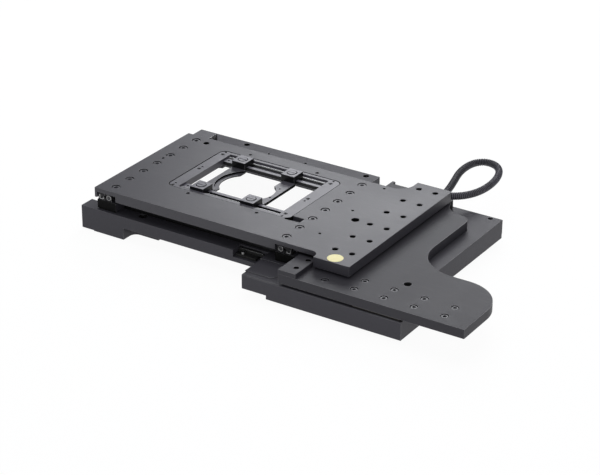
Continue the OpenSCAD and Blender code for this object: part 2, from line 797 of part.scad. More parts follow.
module carriage_outline() {
  difference() {
    union() {
      translate([-car_left, -car_setback])
        square([car_right + car_left, car_setback + rear_edge_left]);
      translate([-car_left, -ear_rear]) square([car_left + ear_left_x1, ear_rear]);
      translate([ear_right_x0, -ear_rear]) square([arm_left - ear_right_x0 + over, ear_rear]);
      translate([arm_left, -arm_front]) square([arm_right - arm_left, arm_front - arm_rear]);
      translate([car_right - over, -arm_rear - over])
        square([arm_fillet_r + over, arm_fillet_r + over]);
      translate([rear_left_x, 0]) square([slant[4][0] - rear_left_x, car_rear]);
      polygon([slant[0], slant[1], slant[2], slant[3], slant[4], [rear_left_x, car_rear],
        [rear_left_x, 0], [slant[0][0], 0]]);
      translate([rear_left_x, 0]) square([vane_x1 - rear_left_x, vane_rear]);
    }
    // round outer corner of the arm
    difference() {
      translate([arm_right - arm_corner_r, -arm_rear - arm_corner_r])
        square([arm_corner_r + over, arm_corner_r + over]);
      translate([arm_right - arm_corner_r, -arm_rear - arm_corner_r])
        circle(r = arm_corner_r, $fn = fine);
    }
    translate([car_right + arm_fillet_r, -arm_rear + arm_fillet_r])
      circle(r = arm_fillet_r, $fn = fine);
    // rear right corner of the plate
    translate(slant[0]) square([car_rear, car_rear]);
    difference() {
      translate([car_right - corner_r, slant[0][1] - corner_r])
        square([corner_r + over, corner_r + over]);
      translate([car_right - corner_r, slant[0][1] - corner_r])
        circle(r = corner_r, $fn = fine);
    }
    polygon([slant[0], slant[1], slant[2], slant[3], slant[4], [car_right + over, car_rear],
      [car_right + over, slant[0][1]]]);
  }
}

module carriage_plate() color([0.4, 0.41, 0.43]) placed() difference() {
  translate([0, 0, car_z0]) linear_extrude(carriage_t) carriage_outline();
  rblk(window_x0, window_x1, window_y0, window_y1, car_z0 - over, car_z1 + over, window_r);
  // rail tracks underneath
  blk(-car_left - over, x_rail_x1 + x_travel + track_spare, xf_outer - pocket_gap,
    xf_inner, car_z0 - over, xm_z1);
  blk(-car_left - over, x_rail_x1 + x_travel + track_spare, xb_inner, xb_outer + pocket_gap,
    car_z0 - over, xm_z1);
  // motor pocket on top
  rblk(coil_x0 - bay_gap, coil_x1 + bay_gap, coil_y0 - bay_gap, coil_y1 + bay_gap,
    car_z1 - coil_sink, car_z1 + over, coil_r + bay_gap);
  // magnet track pocket under the arm
  blk(track_x0, track_x1, track_y0, track_y1, car_z0 - over, car_z0 + track_magnet_t
    + track_yoke_t);
  for (i = [0 : arm_row_a_n - 1]) arm_bore(arm_row_a_x + i * arm_pitch, arm_row_a_y);
  for (i = [0 : arm_row_b_n - 1]) arm_bore(arm_row_b_x + i * arm_pitch, arm_row_b_y);
  rod(sink_hole[0], sink_hole[1], car_z0 - over, car_z1 + over, sink_hole_r);
  translate([sink_hole[0], sink_hole[1], car_z1 + seat_gap - (sink_mouth_r - sink_hole_r)])
    cylinder(h = sink_mouth_r - sink_hole_r, r1 = sink_hole_r, r2 = sink_mouth_r, $fn = fine);
  for (p = stop_holes) rod(p[0], p[1], car_z1 - m3_len, car_z1 + over, m3_r + screw_gap);
  for (px = [yl_screw_x, yr_screw_x], py = y_screw_ys)
    rod(px, py, car_z1 - rail_screw_tip, car_z1 + over, m3_r + screw_gap);
  // scale groove underneath and read head seat on top
  blk(x_scale_x0 - bay_gap, x_scale_x1 + bay_gap, x_scale_y0 - bay_gap, x_scale_y1 + bay_gap,
    car_z0 - over, car_z0 + scale_t + bay_gap);
  blk(read_y_x0 - bay_gap, read_y_x1 + bay_gap, read_y_y0 - bay_gap, read_y_y1 + bay_gap,
    car_z1 - read_sink, car_z1 + over);
  for (p = bracket_screws) rod(p[0], p[1], car_z1 - m3_len, car_z1 + over, m3_r + screw_gap);
  rod_y(hose_a[0], hose_a[1] - gland_l, hose_a[1] + over, hose_a[2], hose_gland_r + screw_gap);
}
x_scale_x0 = 102;
x_scale_x1 = 226;
x_scale_y0 = 22;
x_scale_y1 = 34;
scale_t = 1.2;
read_y_x0 = 120;
read_y_x1 = 134;
read_y_y0 = -20;
read_y_y1 = 8;
hose_a = [170, 108.3, 33.8];

module rod_y(x, y0, y1, z, r)
  translate([x, y1, z]) rotate([90, 0, 0]) cylinder(h = y1 - y0, r = r, $fn = fine);

module arm_bore(x, y) {
  rod(x, y, car_z1 - arm_seat_d, car_z1 + over, arm_seat_r);
  rod(x, y, car_z0, car_z1, arm_shank_r + screw_gap);
}

module stop_block() color([0.38, 0.39, 0.41]) placed() difference() {
  blk(arm_left, stop_block_x1, -arm_front, stop_block_rear, car_z1, car_z1 + stop_block_h);
  for (p = stop_holes) {
    rod(p[0], p[1], car_z1 - over, car_z1 + stop_block_h + over, m3_r + screw_gap);
    rod(p[0], p[1], car_z1 + stop_block_h - stop_seat_d, car_z1 + stop_block_h + over, m3_seat_r);
  }
}
module stop_block_screws() color([0.2, 0.2, 0.22]) placed()
  for (p = stop_holes)
    screw(p[0], p[1], car_z1 + stop_block_h - stop_seat_d + stop_head_h, m3_head_r, stop_head_h,
      m3_r, m3_len);

module x_magnet_yoke() color([0.55, 0.56, 0.58]) placed() difference() {
  blk(track_x0 + bay_gap, track_x1 - bay_gap, track_y0 + bay_gap, track_y1 - bay_gap,
    car_z0 + track_magnet_t, car_z0 + track_magnet_t + track_yoke_t);
  for (i = [0 : arm_row_a_n - 1])
    rod(arm_row_a_x + i * arm_pitch, arm_row_a_y, car_z0, car_z1, arm_shank_r + screw_gap);
  for (i = [0 : arm_row_b_n - 1])
    rod(arm_row_b_x + i * arm_pitch, arm_row_b_y, car_z0, car_z1, arm_shank_r + screw_gap);
}
module x_magnets() color([0.7, 0.7, 0.72]) placed()
  for (i = [0 : x_magnets_n - 1]) {
    pitch = (track_x1 - track_x0 - 2 * magnet_side) / x_magnets_n;
    blk(track_x0 + magnet_side + i * pitch + bay_gap, track_x0 + magnet_side + (i + 1) * pitch,
      track_y0 + magnet_side, track_y1 - magnet_side, car_z0 + seat_gap,
      car_z0 + track_magnet_t);
  }
module arm_screws() color([0.22, 0.22, 0.24]) placed() {
  for (i = [0 : arm_row_a_n - 1])
    screw(arm_row_a_x + i * arm_pitch, arm_row_a_y, car_z1 - arm_seat_d + arm_head_h, arm_head_r,
      arm_head_h, arm_shank_r, arm_len);
  for (i = [0 : arm_row_b_n - 1])
    screw(arm_row_b_x + i * arm_pitch, arm_row_b_y, car_z1 - arm_seat_d + arm_head_h, arm_head_r,
      arm_head_h, arm_shank_r, arm_len);
}
module x_scale() color([0.78, 0.76, 0.6]) placed()
  blk(x_scale_x0, x_scale_x1, x_scale_y0, x_scale_y1, car_z0 + bay_gap,
    car_z0 + bay_gap + scale_t);

module y_fixed_rail_left() color([0.62, 0.63, 0.65]) placed() difference() {
  rail_y(yl_outer, yf_z0, 1);
  y_rail_bores(yl_screw_x, yf_z1, rail_h);
}
module y_fixed_rail_right() color([0.62, 0.63, 0.65]) placed() difference() {
  rail_y(yr_split + rail_gap, yf_z0, -1);
  y_rail_bores(yr_screw_x, yf_z1, rail_h);
}
module y_rail_screws() color([0.2, 0.2, 0.22]) placed()
  for (px = [yl_screw_x, yr_screw_x], py = y_screw_ys)
    screw(px, py, yf_z1 - m3_seat_d + m3_head_h, m3_head_r, m3_head_h, m3_r,
      rail_h - m3_seat_d + rail_screw_tip - tip_gap);
module y_coil() color([0.5, 0.27, 0.13]) placed()
  rblk(coil_x0, coil_x1, coil_y0, coil_y1, car_z1 - coil_sink, car_z1 + coil_proud, coil_r);
module y_read_head() color([0.14, 0.14, 0.16]) placed()
  rblk(read_y_x0, read_y_x1, read_y_y0, read_y_y1, car_z1 - read_sink, car_z1 + read_y_proud,
    head_r);

module left_bracket() color([0.75, 0.75, 0.77]) placed() difference() {
  union() {
    blk(bracket_x0, bracket_x1, bracket_y0, bracket_y1, car_z1, car_z1 + bracket_t);
    blk(bracket_x0, bracket_x1, bracket_y1 - bracket_t, bracket_y1, car_z1 - bracket_drop,
      car_z1 + over);
  }
  for (p = bracket_screws)
    rod(p[0], p[1], car_z1 - over, car_z1 + bracket_t + over, m3_r + screw_gap);
}
module left_bracket_screws() color([0.6, 0.6, 0.62]) placed()
  for (p = bracket_screws) {
    rod(p[0], p[1], car_z1 - m3_len + tip_gap, car_z1 + bracket_t, m3_r);
  }

// conduit route: handed points, smooth between them
hose_b = [188.2, 102.6, 45.2];
hose_in = [192.1, 108.3, 43.8];
hose_pts = [hose_a, [170, 115.3, 33.8], [169.8, 123.6, 34], [169.1, 131.9, 34.4],
  [167.9, 140.1, 34.9], [166.3, 148.2, 35.4], [164.4, 156.3, 35.8], [162.4, 164.4, 36.1],
  [160.4, 172.5, 36.3], [158.9, 180.7, 36.5], [158.1, 189, 36.6], [158.3, 197.3, 36.8],
  [159.7, 205.4, 37.1], [163.2, 212.9, 37.4], [169.7, 218, 37.8], [177.9, 218.4, 38.2],
  [185.5, 215.3, 38.6], [191.8, 209.9, 39], [196.7, 203.2, 39.3], [200.4, 195.7, 39.6],
  [203.2, 187.9, 39.8], [205.2, 179.8, 40], [206.5, 171.6, 40.1], [207.1, 163.3, 40.2],
  [207.1, 155, 40.3], [206.4, 146.7, 40.4], [204.9, 138.5, 40.6], [202.8, 130.5, 41],
  [199.8, 122.7, 41.6], [196.2, 115.3, 42.5], hose_in, hose_b];
hose_n = len(hose_pts) - 1;
function clampi(i) = min(max(i, 0), hose_n);
function cr(a, b, c, d, t) = 0.5 * ((2 * b) + (c - a) * t + (2 * a - 5 * b + 4 * c - d) * t * t
  + (3 * b - a - 3 * c + d) * t * t * t);
function hose_at(u) = let(i = min(floor(u), hose_n - 1), t = u - i)
  cr(hose_pts[clampi(i - 1)], hose_pts[i], hose_pts[i + 1], hose_pts[clampi(i + 2)], t);
hose_fine = 12;
hose_us = [for (k = [0 : hose_n * hose_fine]) k / hose_fine];
function cumul(k, s) = k == 0 ? [[0, 0]] : let(p = cumul(k - 1, s),
  q = p[k - 1][0] + norm(hose_at(hose_us[k]) - hose_at(hose_us[k - 1])))
  concat(p, [[q, hose_us[k]]]);
hose_table = cumul(hose_n * hose_fine, 0);
hose_len = hose_table[hose_n * hose_fine][0];
function hose_pos(s) = hose_at(lookup(s, hose_table));
hose_step = 0.4;
dir_a = [0, 1, 0];
dir_b = (hose_b - hose_in) / norm(hose_b - hose_in);
function hose_dir(s) = s < hose_d ? dir_a : s > hose_len - norm(hose_b - hose_in) * 0.9 ? dir_b :
  let(v = hose_pos(min(s + hose_step, hose_len)) - hose_pos(max(s - hose_step, 0))) v / norm(v);
sides = 8;
function ring(s, r) = let(t = hose_dir(s), w0 = cross(t, [0, 0, 1]), w = w0 / norm(w0),
  v = cross(w, t), p = hose_pos(s))
  [for (k = [0 : sides - 1]) p + r * (cos(k * 360 / sides) * w + sin(k * 360 / sides) * v)];
plain_end = hose_d;
rib_span = hose_len - 2 * plain_end;
outer_s = concat([0], [for (k = [0 : rib_count - 1], h = [0, 1])
  plain_end + rib_span * (k + (h == 0 ? 0 : 0.5)) / rib_count], [hose_len - plain_end, hose_len]);
outer_r = concat([hose_d / 2 - rib_depth], [for (k = [0 : rib_count - 1], h = [0, 1])
  h == 0 ? hose_d / 2 - rib_depth : hose_d / 2],
  [hose_d / 2 - rib_depth, hose_d / 2 - rib_depth]);
inner_n = 70;
inner_s = [for (k = [0 : inner_n]) hose_len * k / inner_n];
outer_pts = [for (i = [0 : len(outer_s) - 1]) each ring(outer_s[i], outer_r[i])];
inner_pts = [for (i = [0 : inner_n]) each ring(inner_s[i], hose_bore_r)];
n_out = len(outer_s);
base_in = n_out * sides;
function idx(i, k) = i * sides + (k % sides);
hose_faces = concat(
  [for (i = [0 : n_out - 2], k = [0 : sides - 1], h = [0, 1])
    h == 0 ? [idx(i, k), idx(i + 1, k), idx(i + 1, k + 1)]
           : [idx(i, k), idx(i + 1, k + 1), idx(i, k + 1)]],
  [for (i = [0 : inner_n - 1], k = [0 : sides - 1], h = [0, 1])
    h == 0 ? [base_in + idx(i, k), base_in + idx(i + 1, k + 1), base_in + idx(i + 1, k)]
           : [base_in + idx(i, k), base_in + idx(i, k + 1), base_in + idx(i + 1, k + 1)]],
  [for (k = [0 : sides - 1], h = [0, 1])
    h == 0 ? [idx(0, k), idx(0, k + 1), base_in + idx(0, k + 1)]
           : [idx(0, k), base_in + idx(0, k + 1), base_in + idx(0, k)]],
  [for (k = [0 : sides - 1], h = [0, 1])
    h == 0 ? [idx(n_out - 1, k), base_in + idx(inner_n, k + 1), idx(n_out - 1, k + 1)]
           : [idx(n_out - 1, k), base_in + idx(inner_n, k), base_in + idx(inner_n, k + 1)]]);

module conduit() color([0.08, 0.08, 0.09]) placed()
  polyhedron(points = concat(outer_pts, inner_pts), faces = hose_faces, convexity = 8);

module carriage_gland() color([0.1, 0.1, 0.11]) placed() difference() {
  rod_y(hose_a[0], hose_a[1] - gland_l, hose_a[1], hose_a[2], hose_gland_r);
  rod_y(hose_a[0], hose_a[1] - gland_l - over, hose_a[1] + over, hose_a[2], hose_bore_r);
}

module along_b(back, fwd, r)
  translate(hose_b) rotate([0, acos(-dir_b[2]), atan2(-dir_b[1], -dir_b[0])])
    translate([0, 0, -back]) cylinder(h = back + fwd, r = r, $fn = fine);

module tab_gland() color([0.1, 0.1, 0.11]) placed() difference() {
  along_b(tab_gland_l, 0, tab_gland_r);
  along_b(tab_gland_l + over, over, hose_bore_r);
}

module plate_outline() {
  difference() {
    union() {
      translate([-plate_left, -plate_front])
        square([plate_left + tab_left + over, plate_front + plate_rear]);
      translate([tab_left, -tab_front]) square([tab_right - tab_left, tab_front + tab_rear]);
      translate([tab_left - tab_fillet_front, -plate_front - tab_fillet_front])
        square([tab_fillet_front + over, tab_fillet_front + over]);
      translate([tab_left - tab_fillet_rear, plate_rear - over])
        square([tab_fillet_rear + over, tab_fillet_rear + over]);
    }
    translate([tab_left - tab_fillet_front, -plate_front - tab_fillet_front])
      circle(r = tab_fillet_front, $fn = fine);
    translate([tab_left - tab_fillet_rear, plate_rear + tab_fillet_rear])
      circle(r = tab_fillet_rear, $fn = fine);
    polygon([[tab_right - gland_chamfer_x, tab_rear], [tab_right + over, tab_rear + over],
      [tab_right, tab_rear - gland_chamfer_y]]);
  }
}

module top_plate() color([0.5, 0.51, 0.53]) placed() difference() {
  translate([0, 0, plate_z0]) linear_extrude(plate_t) plate_outline();
  rblk(-recess_l / 2, recess_l / 2, -recess_w / 2, recess_w / 2, plate_z1 - recess_d,
    plate_z1 + over, recess_r);
  rblk(-recess_l / 2 + ledge_w, recess_l / 2 - ledge_w, -recess_w / 2 + ledge_w,
    recess_w / 2 - ledge_w, plate_z0 - over, plate_z1, recess_r - inner_r_less);
  // rail pockets, open at both ends
  blk(yl_outer - pocket_gap, yl_inner, -plate_front - over, plate_rear + over, plate_z0 - over,
    ym_z1);
  blk(yr_inner, yr_outer + pocket_gap, -plate_front - over, plate_rear + over, plate_z0 - over,
    ym_z1);
  blk(notch_left_x0, notch_left_x1, -plate_front - over, -plate_front + notch_d,
    plate_z0 - over, ym_z1);
  blk(notch_right_x0, relief_x0 + over, -plate_front - over, -plate_front + notch_d,
    plate_z0 - over, ym_z1);
  // relief over the stop block
  blk(relief_x0, tab_left, -tab_front - over, relief_rear, plate_z0 - over, plate_z1 - lip_t);
  for (i = [0 : plate_screws_n - 1], px = [plate_screw_x_left, plate_screw_x_right]) {
    rod(px, -plate_screw_front + i * rail_pitch, plate_z1 - m5_seat_d, plate_z1 + over,
      m5_seat_r);
    rod(px, -plate_screw_front + i * rail_pitch, plate_z0, plate_z1, m5_r + screw_gap);
  }
  for (i = [0 : tap_count - 1], px = [tap_row_a, tap_row_b]) {
    rod(px, -tap_front + i * tap_pitch, plate_z1 - tap_depth, plate_z1 + over, tap_r);
    translate([px, -tap_front + i * tap_pitch, plate_z1 - (tap_mouth_r - tap_r) + seat_gap])
      cylinder(h = tap_mouth_r - tap_r, r1 = tap_r, r2 = tap_mouth_r, $fn = fine);
  }
  for (p = small_holes) rod(p[0], p[1], plate_z1 - small_depth, plate_z1 + over, small_r);
  for (p = set_holes) rod(p[0], p[1], plate_z1 - set_depth, plate_z1 + over, set_r);
  rod(access_a[0], access_a[1], plate_z0 - over, plate_z1 + over, access_a_r);
  rod(access_b[0], access_b[1], plate_z0 - over, plate_z1 + over, access_b_r);
  translate([0, 0, plate_z1 - pry_depth]) linear_extrude(pry_depth + over) polygon(pry_points);
  // magnet pocket under the tab
  blk(yoke_x0 - bay_gap, yoke_x1 + bay_gap, yoke_y0 - bay_gap, yoke_y1 + bay_gap,
    plate_z0 - over, plate_z0 + y_magnet_t + yoke_t + 2 * bay_gap);
  // scale groove
  blk(y_scale_x0 - bay_gap, y_scale_x1 + bay_gap, y_scale_y0 - bay_gap, y_scale_y1 + bay_gap,
    plate_z0 - over, plate_z0 + scale_t + bay_gap);
  along_b(tab_gland_l + screw_gap, 2 * tab_gland_l, tab_gland_r + screw_gap);
}
y_scale_x0 = 121;
y_scale_x1 = 133;
y_scale_y0 = -56;
y_scale_y1 = 44;

module y_moving_rail_left() color([0.62, 0.63, 0.65]) placed() difference() {
  rail_y(yl_split + rail_gap, ym_z0, -1);
  for (i = [0 : plate_screws_n - 1])
    rod(plate_screw_x_left, -plate_screw_front + i * rail_pitch, ym_z1 - m5_len, ym_z1 + over,
      m5_r + screw_gap);
}
module y_moving_rail_right() color([0.62, 0.63, 0.65]) placed() difference() {
  rail_y(yr_inner, ym_z0, 1);
  for (i = [0 : plate_screws_n - 1])
    rod(plate_screw_x_right, -plate_screw_front + i * rail_pitch, ym_z1 - m5_len, ym_z1 + over,
      m5_r + screw_gap);
}
module plate_screws() color([0.3, 0.3, 0.32]) placed()
  for (i = [0 : plate_screws_n - 1], px = [plate_screw_x_left, plate_screw_x_right])
    screw(px, -plate_screw_front + i * rail_pitch, plate_z1 - m5_seat_d + m5_head_h, m5_head_r,
      m5_head_h, m5_r, m5_len);
module y_magnet_yoke() color([0.55, 0.56, 0.58]) placed()
  blk(yoke_x0, yoke_x1, yoke_y0, yoke_y1, plate_z0 + y_magnet_t + bay_gap,
    plate_z0 + y_magnet_t + yoke_t + bay_gap);
module y_magnets() color([0.7, 0.7, 0.72]) placed()
  for (i = [0 : y_magnets_n - 1]) {
    pitch = (yoke_y1 - yoke_y0 - 2 * magnet_side) / y_magnets_n;
    blk(yoke_x0 + magnet_side, yoke_x1 - magnet_side, yoke_y0 + magnet_side + i * pitch + bay_gap,
      yoke_y0 + magnet_side + (i + 1) * pitch, plate_z0 + bay_gap,
      plate_z0 + y_magnet_t + bay_gap);
  }
module y_scale() color([0.78, 0.76, 0.6]) placed()
  blk(y_scale_x0, y_scale_x1, y_scale_y0, y_scale_y1, plate_z0 + bay_gap,
    plate_z0 + bay_gap + scale_t);
module set_screws() color([0.2, 0.2, 0.22]) placed()
  for (p = set_holes) difference() {
    rod(p[0], p[1], plate_z1 - set_depth, plate_z1 - set_sunk, set_r - screw_gap);
    translate([p[0], p[1], plate_z1 - set_sunk - set_hex_d])
      cylinder(h = set_hex_d + over, r = set_r * hex_share, $fn = 6);
  }

module insert_frame() color([0.45, 0.46, 0.48]) placed() difference() {
  rblk(-ins_x, ins_x, -ins_y, ins_y, ins_z0, ins_z1, recess_r - insert_gap);
  // the middle is open down to thin channel floors beside two lower bars
  blk(inner_left, inner_right, -side_in, side_in, ins_z0 + channel_floor_t, ins_z1 + over);
  blk(inner_left, inner_right, -low_bar_y0, low_bar_y0, ins_z0 - over, ins_z1 + over);
  for (p = concat(ins_screws_left, ins_screws_right)) {
    rod(p[0], p[1], ins_z1 - ins_seat_d, ins_z1 + over, ins_screw_r + screw_gap);
  }
  for (p = concat(ins_small_left, ins_small_right))
    rod(p[0], p[1], ins_z1 - ins_small_d, ins_z1 + over, ins_small_r);
  for (s = [-1, 1])
    translate([inner_left - rod_end, s * guide_y, rod_z]) rotate([0, 90, 0])
      cylinder(h = inner_right - inner_left + 2 * rod_end, r = rod_r + screw_gap, $fn = fine);
}
rod_z = plate_z1 - rod_drop;

// the low bars, with a pad at the left end that stops the blocks
module insert_bars() color([0.3, 0.3, 0.32]) placed()
  for (s = [-1, 1]) difference() {
    union() {
      blk(inner_left + seat_gap, inner_right - seat_gap, s > 0 ? low_bar_y0 : -low_bar_y1,
        s > 0 ? low_bar_y1 : -low_bar_y0, ins_z0 + channel_floor_t, ins_z1 - low_bar_drop);
      blk(inner_left + seat_gap, inner_left + pad_l, s > 0 ? low_bar_y1 - over : -pad_y1,
        s > 0 ? pad_y1 : -low_bar_y1 + over, ins_z0 + channel_floor_t, ins_z1 - low_bar_drop);
    }
    rod(inner_left + pad_l / 2, s * low_bar_y1, ins_z0 + 2 * channel_floor_t, ins_z1, ins_small_r);
  }

module insert_rods() color([0.7, 0.7, 0.72]) placed()
  for (s = [-1, 1])
    translate([inner_left - rod_end, s * guide_y, rod_z]) rotate([0, 90, 0])
      cylinder(h = inner_right - inner_left + 2 * rod_end, r = rod_r, $fn = fine);

module insert_screws() color([0.35, 0.35, 0.37]) placed()
  for (p = concat(ins_screws_left, ins_screws_right)) difference() {
    rod(p[0], p[1], ins_z1 - ins_seat_d, ins_z1 - ins_sunk, ins_screw_r);
    translate([p[0], p[1], ins_z1 - ins_seat_d + ins_sunk])
      cylinder(h = ins_seat_d, r = ins_screw_r * hex_share, $fn = 6);
  }

// a block straddles the low bar: a cap, an inner leg and an outer leg with the rod's bore
module block_pair(cx)
  for (s = [-1, 1]) difference() {
    union() {
      slab(cx, s, block_y0, block_y1, ins_z1 - low_bar_drop + block_rise, plate_z1 + block_top);
      slab(cx, s, block_y0, block_leg_y, plate_z1 - block_leg_drop, plate_z1);
      slab(cx, s, block_step_y, block_y1, ins_z0 + channel_floor_t + block_rise, plate_z1);
    }
    translate([cx - block_l, s * guide_y, rod_z]) rotate([0, 90, 0])
      cylinder(h = 2 * block_l, r = rod_r + rod_run, $fn = fine);
    translate([cx, s * block_y, plate_z1 + block_top - cap_t])
      cylinder(h = cap_t + over, r = disc_r + disc_gap, $fn = fine);
    rod(cx, s * block_y, plate_z1 + block_top - stem_l, plate_z1 + block_top, m3_r + rod_run);
  }
module slab(cx, s, y0, y1, z0, z1)
  blk(cx - block_l / 2, cx + block_l / 2, s > 0 ? y0 : -y1, s > 0 ? y1 : -y0, z0, z1);
block_y0 = block_y - block_w / 2;
block_y1 = block_y + block_w / 2;
rod_run = 0.06;
disc_gap = 0.5;

module left_blocks() color([0.62, 0.63, 0.64]) placed() block_pair(left_block_x);
module right_blocks() color([0.62, 0.63, 0.64]) placed() block_pair(right_block_x);

// jaw plates carry a round dish or a glass slide; they hang between the blocks' inner legs
module left_jaw() color([0.66, 0.67, 0.68]) placed() difference() {
  blk(jaw_left_x0, jaw_left_x1, -block_y0, block_y0, jaw_z0, jaw_z1);
  rod(left_block_x + seat_ahead, 0, jaw_z0 + seat_h, jaw_z1 + over, seat_r);
  rod(left_block_x + dish_ahead, 0, jaw_z0 - over, jaw_z1 + over, dish_r);
}
module right_jaw() color([0.66, 0.67, 0.68]) placed() difference() {
  blk(jaw_right_x0, jaw_right_x1, -block_y0, block_y0, jaw_z0, jaw_z1);
  rod(right_block_x - finger_back, finger_y, jaw_z0 - over, jaw_z1 + over, finger_r);
  for (p = jaw_holes)
    rod(right_block_x + p[0], p[1], jaw_z0 - over, jaw_z1 + over, jaw_hole_r);
}
jaw_z1 = plate_z1 - jaw_drop;
jaw_z0 = jaw_z1 - jaw_t;

module lock(cx, s) difference() {
  union() {
    rod(cx, s * block_y, plate_z1 + block_top - cap_t + seat_gap, plate_z1 + block_top
      + disc_proud, disc_r);
    rod(cx, s * block_y, plate_z1 + block_top - stem_l + stem_less,
      plate_z1 + block_top - cap_t + 2 * seat_gap,
      m3_r);
  }
  translate([cx - disc_r, s * block_y - slot_w / 2, plate_z1 + block_top + disc_proud - slot_d])
    cube([2 * disc_r, slot_w, slot_d + over]);
}
slot_w = 0.8;
slot_d = 0.5;
module lock_screw_left_front() color([0.6, 0.61, 0.62]) placed() lock(left_block_x, -1);
module lock_screw_left_rear() color([0.6, 0.61, 0.62]) placed() lock(left_block_x, 1);
module lock_screw_right_front() color([0.6, 0.61, 0.62]) placed() lock(right_block_x, -1);
module lock_screw_right_rear() color([0.6, 0.61, 0.62]) placed() lock(right_block_x, 1);

base_plate();
motor_housing();
x_coil();
control_board();
x_fixed_rail_front();
x_fixed_rail_rear();
x_rail_screws();
base_screw_front();
stop_bracket();
stop_screw();
stop_strip();
stop_bumper();
x_read_head();
x_cage_front();
x_cage_rear();
x_rollers_front();
x_rollers_rear();
carriage_plate();
stop_block();
stop_block_screws();
x_moving_rail_front();
x_moving_rail_rear();
x_magnet_yoke();
x_magnets();
arm_screws();
x_scale();
y_fixed_rail_left();
y_fixed_rail_right();
y_rail_screws();
y_coil();
y_read_head();
left_bracket();
left_bracket_screws();
carriage_gland();
conduit();
y_cage_left();
y_cage_right();
y_rollers_left();
y_rollers_right();
top_plate();
y_moving_rail_left();
y_moving_rail_right();
plate_screws();
y_magnet_yoke();
y_magnets();
y_scale();
set_screws();
tab_gland();
insert_frame();
insert_bars();
insert_rods();
insert_screws();
left_jaw();
left_blocks();
right_jaw();
right_blocks();
lock_screw_left_front();
lock_screw_left_rear();
lock_screw_right_front();
lock_screw_right_rear();
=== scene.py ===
import json
import math

import bmesh
import bpy
from mathutils import Matrix, Vector


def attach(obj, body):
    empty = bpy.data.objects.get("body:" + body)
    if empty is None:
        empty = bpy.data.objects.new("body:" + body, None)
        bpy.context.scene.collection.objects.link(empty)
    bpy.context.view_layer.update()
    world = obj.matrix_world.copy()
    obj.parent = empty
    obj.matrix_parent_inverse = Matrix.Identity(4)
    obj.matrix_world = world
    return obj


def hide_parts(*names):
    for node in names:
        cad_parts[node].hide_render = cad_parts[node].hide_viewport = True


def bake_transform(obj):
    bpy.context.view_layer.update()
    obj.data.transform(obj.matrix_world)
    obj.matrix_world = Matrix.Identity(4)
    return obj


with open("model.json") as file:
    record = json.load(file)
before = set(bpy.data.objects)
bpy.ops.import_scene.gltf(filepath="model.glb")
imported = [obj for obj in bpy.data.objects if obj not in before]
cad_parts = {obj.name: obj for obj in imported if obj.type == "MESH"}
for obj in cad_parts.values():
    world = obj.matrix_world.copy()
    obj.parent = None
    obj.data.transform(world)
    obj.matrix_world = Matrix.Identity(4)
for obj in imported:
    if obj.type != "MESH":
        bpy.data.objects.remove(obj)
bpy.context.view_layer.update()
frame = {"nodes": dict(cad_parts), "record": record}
NODES = frame["nodes"]
BODY_OF = {n: b for b, ns in frame["record"]["behaviour"]["bodies"].items() for n in ns}
MM = 0.001

# part.scad measures from the light axis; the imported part's origin is the footprint's centre
CENTRE_X = 91.85
CENTRE_Y = -4.25


def at(x, y, z):
    """A point given in part.scad's millimetres, in metres in the shared frame."""
    return Vector(((x - CENTRE_X) * MM, (y - CENTRE_Y) * MM, z * MM))


# The camera, as solved from the photograph: angles in degrees, place in metres.
CAMERA_LENS = 123.218
CAMERA_SENSOR = 36.0
CAMERA_FAR = 50.0
CAMERA_AZIMUTH = 32.453
CAMERA_ELEVATION = 26.360
CAMERA_ROLL = 0.352
CAMERA_PLACE = (1.050958, -1.699135, 1.002378)


def add_camera():
    data = bpy.data.cameras.new("camera")
    data.lens = CAMERA_LENS
    data.sensor_width = CAMERA_SENSOR
    data.sensor_fit = "HORIZONTAL"
    data.clip_end = CAMERA_FAR
    cam = bpy.data.objects.new("camera", data)
    az, el, roll = map(math.radians, (CAMERA_AZIMUTH, CAMERA_ELEVATION, CAMERA_ROLL))
    back = Vector((math.sin(az) * math.cos(el), -math.cos(az) * math.cos(el), math.sin(el)))
    right = Vector((math.cos(az), math.sin(az), 0.0))
    up = back.cross(right)
    rolled_right = math.cos(roll) * right + math.sin(roll) * up
    rolled_up = -math.sin(roll) * right + math.cos(roll) * up
    place = Matrix((rolled_right, rolled_up, back)).transposed().to_4x4()
    place.translation = Vector(CAMERA_PLACE)
    cam.matrix_world = place
    bpy.context.scene.collection.objects.link(cam)
    bpy.context.scene.camera = cam


add_camera()


# Materials. A band is a pair of values; most of a noise lies in MIDDLE.
FULL = (0.0, 1.0)
MIDDLE = (0.3, 0.7)
WIDE = (0.2, 0.8)


